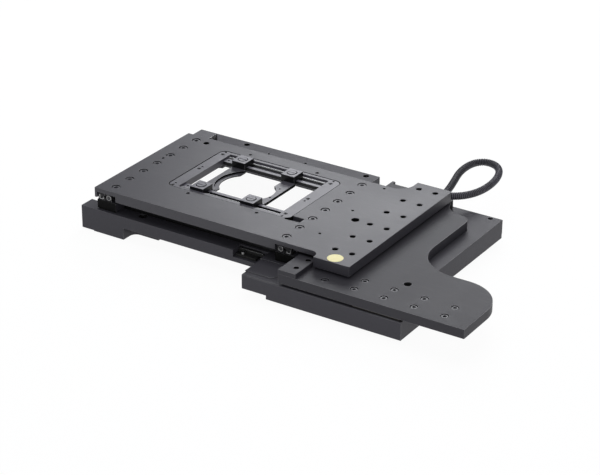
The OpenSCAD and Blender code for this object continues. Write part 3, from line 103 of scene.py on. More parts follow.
class Shader:
    """A principled material with short calls for its procedural nodes."""

    def __init__(self, name, **fixed):
        self.mat = bpy.data.materials.new(name)
        self.mat.use_nodes = True
        self.nt = self.mat.node_tree
        self.bsdf = self.nt.nodes["Principled BSDF"]
        for socket, value in fixed.items():
            self.bsdf.inputs[socket.replace("_", " ")].default_value = value
        self.coord = self.nt.nodes.new("ShaderNodeTexCoord").outputs["Object"]

    def link(self, a, b):
        self.nt.links.new(a, b)

    def stretch(self, scale):
        n = self.nt.nodes.new("ShaderNodeMapping")
        n.inputs["Scale"].default_value = scale
        self.link(self.coord, n.inputs["Vector"])
        return n.outputs["Vector"]

    def noise(self, scale, detail=3.0, rough=0.55, vector=None):
        n = self.nt.nodes.new("ShaderNodeTexNoise")
        n.inputs["Scale"].default_value = scale
        n.inputs["Detail"].default_value = detail
        n.inputs["Roughness"].default_value = rough
        self.link(vector or self.coord, n.inputs["Vector"])
        return n.outputs["Fac"]

    def voronoi(self, scale):
        n = self.nt.nodes.new("ShaderNodeTexVoronoi")
        n.feature = "F1"
        n.inputs["Scale"].default_value = scale
        self.link(self.coord, n.inputs["Vector"])
        return n.outputs["Distance"]

    def wave(self, scale, axis="X", distortion=0.0):
        n = self.nt.nodes.new("ShaderNodeTexWave")
        n.bands_direction = axis
        n.inputs["Scale"].default_value = scale
        n.inputs["Distortion"].default_value = distortion
        self.link(self.coord, n.inputs["Vector"])
        return n.outputs["Fac"]

    def span(self, value, band, to=FULL):
        """value from one band carried over to another, clamped."""
        n = self.nt.nodes.new("ShaderNodeMapRange")
        n.inputs["From Min"].default_value, n.inputs["From Max"].default_value = band
        n.inputs["To Min"].default_value, n.inputs["To Max"].default_value = to
        self.link(value, n.inputs["Value"])
        return n.outputs["Result"]

    def add(self, a, b):
        n = self.nt.nodes.new("ShaderNodeMath")
        n.operation = "ADD"
        self.link(a, n.inputs[0])
        self.link(b, n.inputs[1])
        return n.outputs[0]

    def mix(self, fac, a, b):
        """Colour a where fac is 0, colour b where it is 1."""
        n = self.nt.nodes.new("ShaderNodeMix")
        n.data_type = "RGBA"
        self.link(fac, n.inputs[0])
        for socket, value in ((n.inputs[6], a), (n.inputs[7], b)):
            if isinstance(value, tuple):
                socket.default_value = (*value, 1.0)
            else:
                self.link(value, socket)
        return n.outputs[2]

    def color(self, out):
        self.link(out, self.bsdf.inputs["Base Color"])

    def rough(self, out):
        self.link(out, self.bsdf.inputs["Roughness"])

    def bump(self, height, depth, strength=1.0):
        """Bump of the given depth in millimetres."""
        n = self.nt.nodes.new("ShaderNodeBump")
        n.inputs["Distance"].default_value = depth * MM
        n.inputs["Strength"].default_value = strength
        self.link(height, n.inputs["Height"])
        self.link(n.outputs["Normal"], self.bsdf.inputs["Normal"])


# how far a full tint takes green down and blue up, and the tints of three surfaces
LESS_GREEN = 1.5
MORE_BLUE = 5.0
DYED = 0.03
RUBBED = 0.02
WORN = 0.01
PLASTIC = 0.04


def grey(v, tint=0.0):
    """A grey with a slight violet tint, as black anodizing has under cool light."""
    return (v, v * (1.0 - LESS_GREEN * tint), v * (1.0 + MORE_BLUE * tint))


def anodized(name, tone, rough, specular):
    """Fine bead-blasted black anodizing: cloudy dye, sparkle of the grain, faint rub marks."""
    s = Shader(name, Metallic=0.0, IOR=1.5, Specular_IOR_Level=specular)
    cloud = s.noise(scale=9.0, detail=5.0, rough=0.6)
    grain = s.noise(scale=2600.0, detail=2.0, rough=0.5)
    rub = s.noise(scale=70.0, detail=6.0, rough=0.7, vector=s.stretch((1.0, 5.0, 1.0)))
    base = s.mix(s.span(cloud, MIDDLE), grey(tone * 0.9, DYED), grey(tone * 1.1, DYED))
    fleck = s.mix(s.span(grain, (0.35, 0.7)), base, grey(tone * 1.25, DYED))
    s.color(s.mix(s.span(rub, (0.62, 0.8), to=(0.0, 0.22)), fleck, grey(tone * 1.9, RUBBED)))
    s.rough(s.add(s.span(cloud, MIDDLE, to=(rough - 0.03, rough + 0.03)),
                  s.span(rub, (0.5, 0.8), to=(0.0, -0.06))))
    s.bump(s.add(grain, s.span(cloud, FULL, to=(0.0, 0.4))), depth=0.03, strength=0.5)
    return s.mat


def worn_edge(name, tone, rough):
    """The broken edge of an anodized part, where handling has thinned the dye."""
    s = Shader(name, Metallic=0.0, Specular_IOR_Level=0.7)
    chips = s.noise(scale=420.0, detail=5.0, rough=0.7)
    long = s.noise(scale=28.0, detail=2.0, rough=0.5)
    wear = s.add(s.span(chips, (0.4, 0.75), to=(0.0, 0.6)),
                 s.span(long, (0.35, 0.7), to=(0.0, 0.6)))
    s.color(s.mix(wear, grey(tone, DYED), grey(tone * 2.4, WORN)))
    s.rough(s.span(chips, (0.3, 0.8), to=(rough, rough - 0.12)))
    s.bump(chips, depth=0.03, strength=0.4)
    return s.mat


ALONG_X = (1.0, 30.0, 30.0)
ALONG_X_AND_Y = (2.0, 2.0, 30.0)
NO_TINT = (1.0, 1.0, 1.0)


def steel(name, tone, rough, along=ALONG_X, tint=NO_TINT):
    """Ground or drawn steel, with its grinding lines along one axis."""
    s = Shader(name, Metallic=1.0)
    lines = s.noise(scale=60.0, detail=6.0, rough=0.7, vector=s.stretch(along))
    cloud = s.noise(scale=40.0)
    low = tuple(tone * 0.82 * t for t in tint)
    high = tuple(min(tone * 1.12, 1.0) * t for t in tint)
    s.color(s.mix(s.span(lines, MIDDLE), low, high))
    s.rough(s.add(s.span(lines, MIDDLE, to=(rough - 0.06, rough + 0.08)),
                  s.span(cloud, MIDDLE, to=(-0.02, 0.04))))
    s.bump(lines, depth=0.01, strength=0.5)
    return s.mat


def oxide(name, tone, rough):
    """Blackened alloy steel of socket screws: oily dark skin, brighter where a key has been."""
    s = Shader(name, Metallic=0.85)
    cloud = s.noise(scale=300.0, detail=5.0, rough=0.65)
    fine = s.noise(scale=2500.0, detail=2.0)
    s.color(s.mix(s.span(cloud, (0.35, 0.75)), grey(tone, RUBBED), grey(tone * 2.0)))
    s.rough(s.span(cloud, MIDDLE, to=(rough + 0.06, rough - 0.06)))
    s.bump(fine, depth=0.02, strength=0.4)
    return s.mat


def rubber(name, tone):
    """Matt black rubber or moulded plastic."""
    s = Shader(name, Metallic=0.0, Specular_IOR_Level=0.35)
    fine = s.noise(scale=1800.0, detail=4.0, rough=0.6)
    s.color(s.mix(s.span(fine, MIDDLE), grey(tone * 0.7), grey(tone * 1.4)))
    s.rough(s.span(fine, MIDDLE, to=(0.62, 0.8)))
    s.bump(fine, depth=0.06, strength=0.5)
    return s.mat


def coil_epoxy(name):
    """Winding seen faintly through black casting resin."""
    s = Shader(name, Metallic=0.0, Coat_Weight=0.5, Coat_Roughness=0.2)
    turns = s.wave(scale=1400.0, axis="Y", distortion=0.4)
    cloud = s.noise(scale=120.0, detail=4.0)
    wire = s.mix(s.span(turns, WIDE), (0.008, 0.006, 0.005), (0.016, 0.011, 0.008))
    s.color(s.mix(s.span(cloud, (0.3, 0.75), to=(0.0, 0.7)), wire, (0.008, 0.007, 0.006)))
    s.rough(s.span(cloud, MIDDLE, to=(0.25, 0.45)))
    s.bump(turns, depth=0.08, strength=0.6)
    return s.mat


def board(name):
    """Green solder mask with copper tracks under it and bare pads."""
    s = Shader(name, Metallic=0.0, Coat_Weight=0.4, Coat_Roughness=0.25)
    tracks = s.wave(scale=260.0, axis="X", distortion=1.5)
    pads = s.voronoi(scale=420.0)
    mask = s.mix(s.span(tracks, (0.7, 0.78)), (0.010, 0.075, 0.030), (0.025, 0.16, 0.06))
    s.color(s.mix(s.span(pads, (0.10, 0.14), to=(1.0, 0.0)), mask, (0.55, 0.50, 0.36)))
    s.rough(s.span(tracks, WIDE, to=(0.35, 0.45)))
    s.bump(tracks, depth=0.04, strength=0.5)
    return s.mat


def scale_tape(name):
    """A steel measuring tape with its fine grating."""
    s = Shader(name, Metallic=0.8)
    marks = s.wave(scale=1600.0, axis="X")
    cloud = s.noise(scale=50.0)
    s.color(s.mix(s.span(marks, MIDDLE), (0.33, 0.29, 0.17), (0.66, 0.60, 0.42)))
    s.rough(s.span(cloud, MIDDLE, to=(0.22, 0.34)))
    s.bump(marks, depth=0.01, strength=0.3)
    return s.mat


def hose_skin(name, tone):
    """Black ribbed plastic with rubbed specks; the ribs' copy is paler, partly rubbing and partly
    painted sheen.
    """
    s = Shader(name, Metallic=0.0, Specular_IOR_Level=0.5)
    fine = s.noise(scale=900.0, detail=5.0, rough=0.65)
    cloud = s.noise(scale=45.0)
    base = s.mix(s.span(cloud, MIDDLE), grey(tone * 0.8, PLASTIC), grey(tone * 1.3, PLASTIC))
    s.color(s.mix(s.span(fine, (0.55, 0.8), to=(0.0, 0.5)), base, grey(tone * 2.0, PLASTIC)))
    s.rough(s.span(fine, MIDDLE, to=(0.38, 0.52)))
    s.bump(fine, depth=0.04, strength=0.4)
    return s.mat


def paper_label(name):
    """A plain blank sticker of coated yellow film."""
    s = Shader(name, Metallic=0.0, Specular_IOR_Level=0.5, Coat_Weight=0.3, Coat_Roughness=0.3)
    fine = s.noise(scale=500.0, detail=4.0)
    cloud = s.noise(scale=60.0)
    s.color(s.mix(s.span(cloud, MIDDLE), (0.80, 0.70, 0.22), (0.88, 0.78, 0.30)))
    s.rough(s.span(fine, MIDDLE, to=(0.34, 0.46)))
    s.bump(fine, depth=0.02, strength=0.3)
    return s.mat


def paint_shade_black(name):
    """Painted shade for the unlit inside of a drilled hole and other shaded walls: near black and
    rough, with faint drill rings.
    """
    s = Shader(name, Metallic=0.0, Specular_IOR_Level=0.12)
    rings = s.wave(scale=900.0, axis="Z", distortion=0.3)
    s.color(s.mix(s.span(rings, WIDE), grey(0.003), grey(0.006)))
    s.rough(s.span(rings, WIDE, to=(0.7, 0.85)))
    s.bump(rings, depth=0.03, strength=0.4)
    return s.mat


# The materials of each finish: main, broken edge, and one or two for faces of their own, mostly
# painted shade or painted light.
MAIN, EDGE, THIRD, FOURTH = range(4)
PAINTED_SHADE = paint_shade_black("bore")
FINISH = {
    "grey_anodized": (anodized("anodized_top", tone=0.045, rough=0.42, specular=0.45),
                      worn_edge("anodized_top_edge", tone=0.050, rough=0.40), PAINTED_SHADE),
    "dark_anodized": (anodized("anodized_base", tone=0.046, rough=0.52, specular=0.32),
                      worn_edge("anodized_base_edge", tone=0.045, rough=0.44), PAINTED_SHADE),
    "carriage": (anodized("anodized_carriage", tone=0.033, rough=0.50, specular=0.30),
                 worn_edge("anodized_carriage_edge", tone=0.045, rough=0.42), PAINTED_SHADE),
    "light_anodized": (anodized("anodized_insert", tone=0.078, rough=0.38, specular=0.5),
                       worn_edge("anodized_insert_edge", tone=0.12, rough=0.34), PAINTED_SHADE),
    "pale_anodized": (anodized("anodized_pale", tone=0.10, rough=0.36, specular=0.5),
                      worn_edge("anodized_pale_edge", tone=0.11, rough=0.3), PAINTED_SHADE),
    "black_block": (anodized("anodized_black", tone=0.006, rough=0.45, specular=0.25),
                    worn_edge("anodized_black_edge", tone=0.05, rough=0.38),
                    # painted light: a paler copy for the lit tops of the black blocks and bars
                    anodized("block_top_painted_light", tone=0.11, rough=0.36, specular=0.5), PAINTED_SHADE),
    "left_jaw": (anodized("anodized_jaw", tone=0.055, rough=0.40, specular=0.45),
                 worn_edge("anodized_jaw_edge", tone=0.10, rough=0.36), PAINTED_SHADE),
    "grey_screw": (anodized("screw_head", tone=0.040, rough=0.40, specular=0.45),
                   worn_edge("screw_head_edge", tone=0.06, rough=0.38)),
    "ground_steel": (steel("ground_steel", tone=0.42, rough=0.30, along=ALONG_X_AND_Y),
                     steel("ground_steel_edge", tone=0.5, rough=0.3, along=ALONG_X_AND_Y),
                     # rail_end: painted shade on the rails' end and front faces, which sit in
                     # shade under the top plate
                     oxide("rail_end", tone=0.02, rough=0.5)),
    "bright_steel": (steel("bright_steel", tone=0.66, rough=0.2),) * 2,
    "bracket_steel": (anodized("bracket_skin", tone=0.05, rough=0.42, specular=0.45),
                      steel("bracket_edge", tone=0.55, rough=0.25)),
    "collar": (oxide("collar", tone=0.05, rough=0.4),
               steel("collar_rim", tone=0.30, rough=0.32)),
    "dull_steel": (steel("dull_steel", tone=0.22, rough=0.34),
                   steel("dull_steel_edge", tone=0.4, rough=0.3)),
    "rod_steel": (steel("rod_steel", tone=0.34, rough=0.2, along=(1.0, 20.0, 20.0)),) * 2,
    "black_steel": (oxide("black_oxide", tone=0.025, rough=0.42),
                    oxide("black_oxide_edge", tone=0.07, rough=0.36)),
    "magnet": (steel("nickel", tone=0.62, rough=0.26, along=(8.0, 8.0, 8.0),
                     tint=(1.0, 0.97, 0.92)),) * 2,
    "cage": (steel("brass_cage", tone=0.62, rough=0.3, along=(1.0, 1.0, 20.0),
                   tint=(1.0, 0.82, 0.48)),) * 2,
    "epoxy": (coil_epoxy("coil_epoxy"),) * 2,
    "board": (board("circuit_board"),) * 2,
    "scale_tape": (scale_tape("scale_tape"),) * 2,
    "head_black": (rubber("moulded_black", tone=0.014),) * 2,
    "rubber": (rubber("rubber", tone=0.016),) * 2,
    # conduit: painted shade in the grooves; ribs paler from rubbing and painted sheen
    "conduit_black": (hose_skin("hose_groove_painted_shade", tone=0.004), hose_skin("hose_rib_rubbed_and_sheen", tone=0.08)),
    "sticker": (paper_label("blank_sticker"),) * 2,
}


# Mesh helpers.
def new_object(name, mesh, body, finish):
    """An object with the finish's materials, riding on a body where one is named."""
    obj = bpy.data.objects.new(name, mesh)
    bpy.context.scene.collection.objects.link(obj)
    for mat in FINISH[finish]:
        mesh.materials.append(mat)
    if body:
        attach(obj, body)
    return obj


def smooth(mesh, degrees=32.0):
    """Smooth shading, with edges sharper than this kept."""
    mesh.polygons.foreach_set("use_smooth", [True] * len(mesh.polygons))
    mesh.set_sharp_from_angle(angle=math.radians(degrees))


def face_outwards(mesh):
    bm = bmesh.new()
    bm.from_mesh(mesh)
    bmesh.ops.recalc_face_normals(bm, faces=bm.faces)
    bm.to_mesh(mesh)
    bm.free()


def circle(sides):
    """The angles of a ring's corners."""
    return [2 * math.pi * k / sides for k in range(sides)]


WELD = 0.002 * MM
FLAT_ANGLE = math.radians(0.3)
SHARP_ANGLE = math.radians(28.0)
EDGE_SEGMENTS = 2


def break_edges(bm, width):
    """Chamfers every sharp outside edge and gives the new faces the second material."""
    bmesh.ops.remove_doubles(bm, verts=bm.verts, dist=WELD)
    bmesh.ops.dissolve_limit(bm, angle_limit=FLAT_ANGLE, verts=bm.verts, edges=bm.edges)
    sharp = [e for e in bm.edges if len(e.link_faces) == 2 and e.is_convex
             and e.calc_face_angle(0.0) > SHARP_ANGLE]
    for f in bm.faces:
        f.material_index = MAIN
    if sharp:
        bmesh.ops.bevel(bm, geom=sharp, offset=width, offset_type="OFFSET",
                        segments=EDGE_SEGMENTS, profile=0.5, affect="EDGES",
                        clamp_overlap=False, loop_slide=True, material=EDGE)


# Drilled holes whose inside gets painted shade: x, y and radius in part.scad's millimetres.
SCREW_PITCH = 25.4
TAP_PITCH = 34.93
ARM_PITCH = 34.66
PLATE_SCREWS = [(x, -90.7 + SCREW_PITCH * i) for i in range(7) for x in (-122.1, 100.7)]
TAPS = [(x, -88.3 + TAP_PITCH * i) for i in range(6) for x in (158.6, 179.1)]
ARM_SCREWS = ([(172.9 + ARM_PITCH * i, -130.6) for i in range(5)]
              + [(207.75 + ARM_PITCH * i, -110.0) for i in range(4)])
HOLES = {
    "top_plate": ([(x, y, 3.7) for x, y in TAPS]
                  + [(x, y, 5.0) for x, y in PLATE_SCREWS]
                  + [(-124.3, 0, 1.65)] + [(126.2, y, 1.65) for y in (66.4, 0, -66.2)]
                  + [(x, y, 2.0) for x in (-46.7, 43.1) for y in (-61, 61)]
                  + [(-107.2, 60.7, 3.5), (140.4, -18.1, 4.5)]),
    "carriage_plate": [(x, y, 4.25) for x, y in ARM_SCREWS] + [(247.7, -92.1, 4.6)],
    "stop_block": [(139.3, -132.2, 3.0), (140.6, -111.4, 3.0)],
    "base_plate": [(-97.4, 129.4, 3.5), (65.2, 130.4, 3.5), (-61.5, 121.6, 1.5),
                   (-10.9, 121.7, 1.5), (235.8, 109.4, 2.6), (-84.2, -93.3, 4.8)],
    "insert_frame": [(x, y, 2.45) for x in (-74.0, 70.0) for y in (45.4, -1.0, -45.4)],
}
TOP_FACE_Z = {"top_plate": 52.5, "carriage_plate": 39.0, "stop_block": 44.1, "base_plate": 27.7,
              "insert_frame": 52.2}
# how far below the top face the painted shade begins, and how far outside a hole's radius it
# still counts
HOLE_RIM = 0.45
HOLE_SLACK = 0.3

# a normal's share along an axis, for faces that face it squarely, on a slant or just so
SQUARE = 0.9
SLANTED = 0.5
LEANING = 0.1
NOT_FLAT = 0.97

# painted shade on walls of the carriage in the plate's deep shadow: front faces under the Y
# rails, rear right wall
FRONT_LEGS_Y = at(0, -90, 0).y
ARM_START_X = at(125, 0, 0).x
REAR_WALL_Y = at(0, 88, 0).y
RAIL_FLOOR_Z = 39.2 * MM

# the gap round the insert, its walls given painted shade: half length and width of its walls, its
# floor, the walls' margins
RECESS_WALL = {"top_plate": (80.0, 55.0), "insert_frame": (79.5, 54.5)}
RECESS_FLOOR_Z = 44.3
RING_IN = 2.6
RING_OUT = 0.4

# locking discs: the ring of painted shade round each, and the heights of ring and of the block
# tops that get painted light
DISC_R = 6.1
DISC_FACE_R = 4.6
DISC_FLAT = 0.98
DISC_RING_Z = 54.1 * MM
BLOCK_TOP_Z = 55.3 * MM
BLOCK_X = {"left": -43.0, "right": 22.7}
BLOCK_Y = 40.7
DISC_PLACES = {}
for side, x in BLOCK_X.items():
    DISC_PLACES[side + "_blocks"] = [(x, -BLOCK_Y), (x, BLOCK_Y)]
    DISC_PLACES["lock_screw_" + side + "_front"] = [(x, -BLOCK_Y)]
    DISC_PLACES["lock_screw_" + side + "_rear"] = [(x, BLOCK_Y)]

BAR_TOP_Z = 49.3 * MM

# other nodes with faces of their own: painted shade on rail ends and jaw walls, painted light on
# the bars' tops, the bracket's front in its edge steel; which faces (normal n, height z), and
# their material
OWN_FACES = {
    "left_bracket": (lambda n, z: n.y < -SQUARE, EDGE),
    "x_fixed_rail_front": (lambda n, z: n.y < -SLANTED, THIRD),
    "x_moving_rail_front": (lambda n, z: n.y < -SLANTED, THIRD),
    "insert_bars": (lambda n, z: n.z > SQUARE and z > BAR_TOP_Z, THIRD),
    "left_jaw": (lambda n, z: n.z < SLANTED, THIRD),
    "right_jaw": (lambda n, z: n.z < SLANTED, THIRD),
}
for rail in ("y_fixed_rail_left", "y_fixed_rail_right", "y_moving_rail_left",
             "y_moving_rail_right"):
    OWN_FACES[rail] = (lambda n, z: abs(n.y) > SQUARE, THIRD)


def in_ring(c, node):
    """True for a point on the walls of the gap between recess and insert, or on their edges: the
    mask for painted shade.
    """
    half_x, half_y = RECESS_WALL[node]
    x, y, z = c.x / MM + CENTRE_X, c.y / MM + CENTRE_Y, c.z / MM
    near = abs(x) > half_x - RING_IN or abs(y) > half_y - RING_IN
    within = abs(x) < half_x + RING_OUT and abs(y) < half_y + RING_OUT
    return near and within and z > RECESS_FLOOR_Z


def paint_plate_shade(bm, node):
    """Painted shade on hole walls, on the walls of the insert's gap, and on the carriage's shaded
    walls.
    """
    rows = [(at(x, y, 0), (rad + HOLE_SLACK) * MM) for x, y, rad in HOLES[node]]
    top = (TOP_FACE_Z[node] - HOLE_RIM) * MM
    for f in bm.faces:
        c, n = f.calc_center_median(), f.normal
        if c.z < top and any((c.xy - p.xy).length < rad for p, rad in rows):
            f.material_index = THIRD
        elif node in RECESS_WALL and abs(n.z) < NOT_FLAT and in_ring(c, node):
            if c.z < top or n.x > LEANING or n.y < -LEANING:
                f.material_index = THIRD
        elif node == "carriage_plate" and c.z < RAIL_FLOOR_Z:
            front = n.y < -SLANTED and c.y < FRONT_LEGS_Y and c.x < ARM_START_X
            if front or (n.x > SQUARE and c.y > REAR_WALL_Y):
                f.material_index = THIRD


def paint_disc_shade_and_lit_tops(bm, node):
    """Painted shade in the ring round each locking disc, and painted light on the tops of the
    clamp blocks.
    """
    places = [at(x, y, 0) for x, y in DISC_PLACES[node]]
    for f in bm.faces:
        c = f.calc_center_median()
        radius = min((c.xy - p.xy).length for p in places)
        rim = radius < DISC_R * MM and f.normal.z < DISC_FLAT
        if node.startswith("lock"):
            if rim and radius > DISC_FACE_R * MM:
                f.material_index = THIRD
        elif rim and c.z > DISC_RING_Z:
            f.material_index = FOURTH
        elif c.z > BLOCK_TOP_Z and f.normal.z > SQUARE:
            f.material_index = THIRD


def paint_shade_and_light(bm, node):
    """Gives faces with a material of their own that material: mostly painted shade, and painted
    light on the tops of blocks and bars.
    """
    if node in HOLES:
        paint_plate_shade(bm, node)
    elif node in DISC_PLACES:
        paint_disc_shade_and_lit_tops(bm, node)
    elif node in OWN_FACES:
        chosen, material = OWN_FACES[node]
        for f in bm.faces:
            if chosen(f.normal, f.calc_center_median().z):
                f.material_index = material


NORMAL_WEIGHT = 80


def machined(node, finish, width):
    """Replaces a CAD node by its own shape with broken edges, as a milled part has."""
    bm = bmesh.new()
    bm.from_mesh(NODES[node].data)
    break_edges(bm, width * MM)
    paint_shade_and_light(bm, node)
    mesh = bpy.data.meshes.new(node + "_milled")
    bm.to_mesh(mesh)
    bm.free()
    smooth(mesh)
    obj = new_object(node + "_milled", mesh, BODY_OF[node], finish)
    mod = obj.modifiers.new("normals", "WEIGHTED_NORMAL")
    mod.keep_sharp = True
    mod.weight = NORMAL_WEIGHT
    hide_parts(node)


# The conduit: its route is part.scad's, in part.scad's millimetres.
HOSE = [(170, 108.3, 33.8), (170, 115.3, 33.8), (169.8, 123.6, 34), (169.1, 131.9, 34.4),
        (167.9, 140.1, 34.9), (166.3, 148.2, 35.4), (164.4, 156.3, 35.8), (162.4, 164.4, 36.1),
        (160.4, 172.5, 36.3), (158.9, 180.7, 36.5), (158.1, 189, 36.6), (158.3, 197.3, 36.8),
        (159.7, 205.4, 37.1), (163.2, 212.9, 37.4), (169.7, 218, 37.8), (177.9, 218.4, 38.2),
        (185.5, 215.3, 38.6), (191.8, 209.9, 39), (196.7, 203.2, 39.3), (200.4, 195.7, 39.6),
        (203.2, 187.9, 39.8), (205.2, 179.8, 40), (206.5, 171.6, 40.1), (207.1, 163.3, 40.2),
        (207.1, 155, 40.3), (206.4, 146.7, 40.4), (204.9, 138.5, 40.6), (202.8, 130.5, 41),
        (199.8, 122.7, 41.6), (196.2, 115.3, 42.5), (192.1, 108.3, 43.8), (188.2, 102.6, 45.2)]
HOSE_STEPS = 24
HOSE_RING = 0.19 * MM
HOSE_R = 4.2
HOSE_SIDES = 20
HOSE_SMOOTH = 60.0
RIBS = 100
GROOVE = 0.7
GROOVE_SHAPE = 1.6
RIB_SHINE = (HOSE_R - 0.15) * MM
BARE_TAB_END = 0.4 * MM
CORD_POINTS = 4 * MM


def hose_route():
    """The route of part.scad: a Catmull-Rom curve through the points."""
    pts = [Vector(p) for p in HOSE]
    out = []
    for i in range(len(pts) - 1):
        a, b = pts[max(i - 1, 0)], pts[i]
        c, d = pts[i + 1], pts[min(i + 2, len(pts) - 1)]
        for k in range(HOSE_STEPS):
            t = k / HOSE_STEPS
            out.append(0.5 * (2 * b + (c - a) * t + (2 * a - 5 * b + 4 * c - d) * t * t
                              + (3 * b - a - 3 * c + d) * t ** 3))
    out.append(pts[-1])
    return [at(*p) for p in out]


def resample(points, step):
    """Points at equal distances along a polyline, and its length."""
    s = [0.0]
    for a, b in zip(points, points[1:]):
        s.append(s[-1] + (b - a).length)
    n = max(2, int(round(s[-1] / step)))
    out, j = [], 0
    for k in range(n + 1):
        d = s[-1] * k / n
        while j < len(s) - 2 and s[j + 1] < d:
            j += 1
        t = (d - s[j]) / (s[j + 1] - s[j])
        out.append(points[j].lerp(points[j + 1], min(max(t, 0.0), 1.0)))
    return out, s[-1]


def tangent(points, i):
    return (points[min(i + 1, len(points) - 1)] - points[max(i - 1, 0)]).normalized()


def tube_mesh(name, points, radius_at, sides):
    """A closed tube along points; radius_at gives the radius from the share of its length."""
    n = len(points)
    verts, faces = [], []
    for i, p in enumerate(points):
        t = tangent(points, i)
        w = t.cross(Vector((0, 0, 1))).normalized()
        v = w.cross(t)
        r = radius_at(i / (n - 1))
        verts += [p + r * (math.cos(a) * w + math.sin(a) * v) for a in circle(sides)]
    for i in range(n - 1):
        for k in range(sides):
            a, b = i * sides + k, i * sides + (k + 1) % sides
            faces.append((a, b, b + sides, a + sides))
    faces.append(tuple(reversed(range(sides))))
    faces.append(tuple(range((n - 1) * sides, n * sides)))
    mesh = bpy.data.meshes.new(name)
    mesh.from_pydata(verts, [], faces)
    face_outwards(mesh)
    return mesh


def add_conduit():
    """The ribbed hose between the carriage's gland and the tab's."""
    route, length = resample(hose_route(), HOSE_RING)
    plain = 2 * HOSE_R * MM / length
    bare = BARE_TAB_END / length

    def radius(u):
        if u < plain or u > 1 - bare:
            return (HOSE_R - GROOVE) * MM
        turn = 2 * math.pi * RIBS * (u - plain) / (1 - plain - bare)
        return (HOSE_R - GROOVE * (0.5 + 0.5 * math.cos(turn)) ** GROOVE_SHAPE) * MM

    mesh = tube_mesh("hose", route, radius, HOSE_SIDES)
    rows = len(route) - 1
    # ribs get the paler material, rubbing with painted sheen; grooves keep the painted-shade
    # black
    for f in mesh.polygons:
        row = f.index // HOSE_SIDES
        if row < rows and radius(row / rows) > RIB_SHINE:
            f.material_index = EDGE
    smooth(mesh, HOSE_SMOOTH)
    hose = new_object("hose", mesh, None, "conduit_black")
    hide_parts("conduit")
    path, _ = resample(route, CORD_POINTS)
    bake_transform(hose)


add_conduit()

# Milled and turned parts: the finish of each node and the width of its broken edges in mm.
FINISH_OF = {
    "base_plate": ("dark_anodized", 0.35), "motor_housing": ("dark_anodized", 0.35),
    "carriage_plate": ("carriage", 0.35), "stop_block": ("carriage", 0.3),
    "top_plate": ("grey_anodized", 0.35), "insert_frame": ("light_anodized", 0.2),
    "insert_bars": ("black_block", 0.2), "left_blocks": ("black_block", 0.25),
    "right_blocks": ("black_block", 0.25), "left_jaw": ("left_jaw", 0.2),
    "right_jaw": ("light_anodized", 0.2), "left_bracket": ("bracket_steel", 0.12),
    "stop_bracket": ("head_black", 0.2), "stop_strip": ("dull_steel", 0.08),
    "x_coil": ("epoxy", 0.4), "y_coil": ("epoxy", 0.4), "control_board": ("board", 0.08),
    "x_magnet_yoke": ("ground_steel", 0.2), "y_magnet_yoke": ("ground_steel", 0.2),
    "x_magnets": ("magnet", 0.15), "y_magnets": ("magnet", 0.15),
    "x_scale": ("scale_tape", 0.05), "y_scale": ("scale_tape", 0.05),
    "x_read_head": ("head_black", 0.3), "y_read_head": ("head_black", 0.3),
    "stop_bumper": ("rubber", 0.3), "carriage_gland": ("head_black", 0.3),
    "tab_gland": ("head_black", 0.3),
    "x_rail_screws": ("black_steel", 0.2), "base_screw_front": ("black_steel", 0.3),
    "stop_screw": ("dull_steel", 0.2), "stop_block_screws": ("black_steel", 0.2),
    "arm_screws": ("grey_screw", 0.25), "y_rail_screws": ("black_steel", 0.2),
    "left_bracket_screws": ("dull_steel", 0.2), "plate_screws": ("grey_screw", 0.3),
    "set_screws": ("black_steel", 0.15), "insert_screws": ("black_steel", 0.2),
}
GUIDE_PARTS = [("x_fixed_rail", "ground_steel", 0.2), ("x_moving_rail", "ground_steel", 0.2),
               ("y_fixed_rail", "ground_steel", 0.2), ("y_moving_rail", "ground_steel", 0.2),
               ("x_cage", "cage", 0.05), ("y_cage", "cage", 0.05),
               ("x_rollers", "bright_steel", 0.15), ("y_rollers", "bright_steel", 0.15)]
GUIDE_SIDES = {"x": ("front", "rear"), "y": ("left", "right")}
for part, finish, width in GUIDE_PARTS:
    for side in GUIDE_SIDES[part[0]]:
        FINISH_OF[part + "_" + side] = (finish, width)
FINISH_OF["insert_rods"] = ("rod_steel", 0.2)
for side in ("left", "right"):
    for end in ("front", "rear"):
        FINISH_OF["lock_screw_%s_%s" % (side, end)] = ("pale_anodized", 0.2)

for node, (finish, width) in FINISH_OF.items():
    machined(node, finish, width)


# Small pieces seen in the photo. A profile is a list of (radius, height) pairs in mm.
STICKER_PROFILE = [(0, 0.02), (8.5, 0.02), (8.55, 0.06), (8.5, 0.11), (8.1, 0.14), (4.0, 0.15),
                   (0, 0.15)]
STICKER_PLACE = (169.9, -106.1, 52.5)
STICKER_SIDES = 64
STICKER_SMOOTH = 50.0
COLLAR_PROFILE = [(0, 0.0), (3.0, 0.0), (3.1, 0.15), (3.1, 0.55), (2.9, 0.75), (2.5, 0.75),
                  (2.3, 0.6), (2.0, 0.2), (0.9, 0.2), (0.7, 0.5), (0, 0.5)]
COLLAR_Y = -103.4
COLLAR_Z = 43.6
COLLAR_RIM = 2.2
COLLAR_SIDES = 32
COLLAR_SMOOTH = 40.0
CLIP_PATH = [(-2.4, 2.6), (-2.4, -1.6), (-1.8, -2.3), (1.6, -2.3), (2.2, -1.6), (2.2, -0.4)]
CLIP_Y = -103.75
CLIP_Z = 43.0
CLIP_RING = 0.3 * MM
CLIP_SMOOTH = 50.0
WIRE_R = 0.35 * MM
WIRE_SIDES = 10


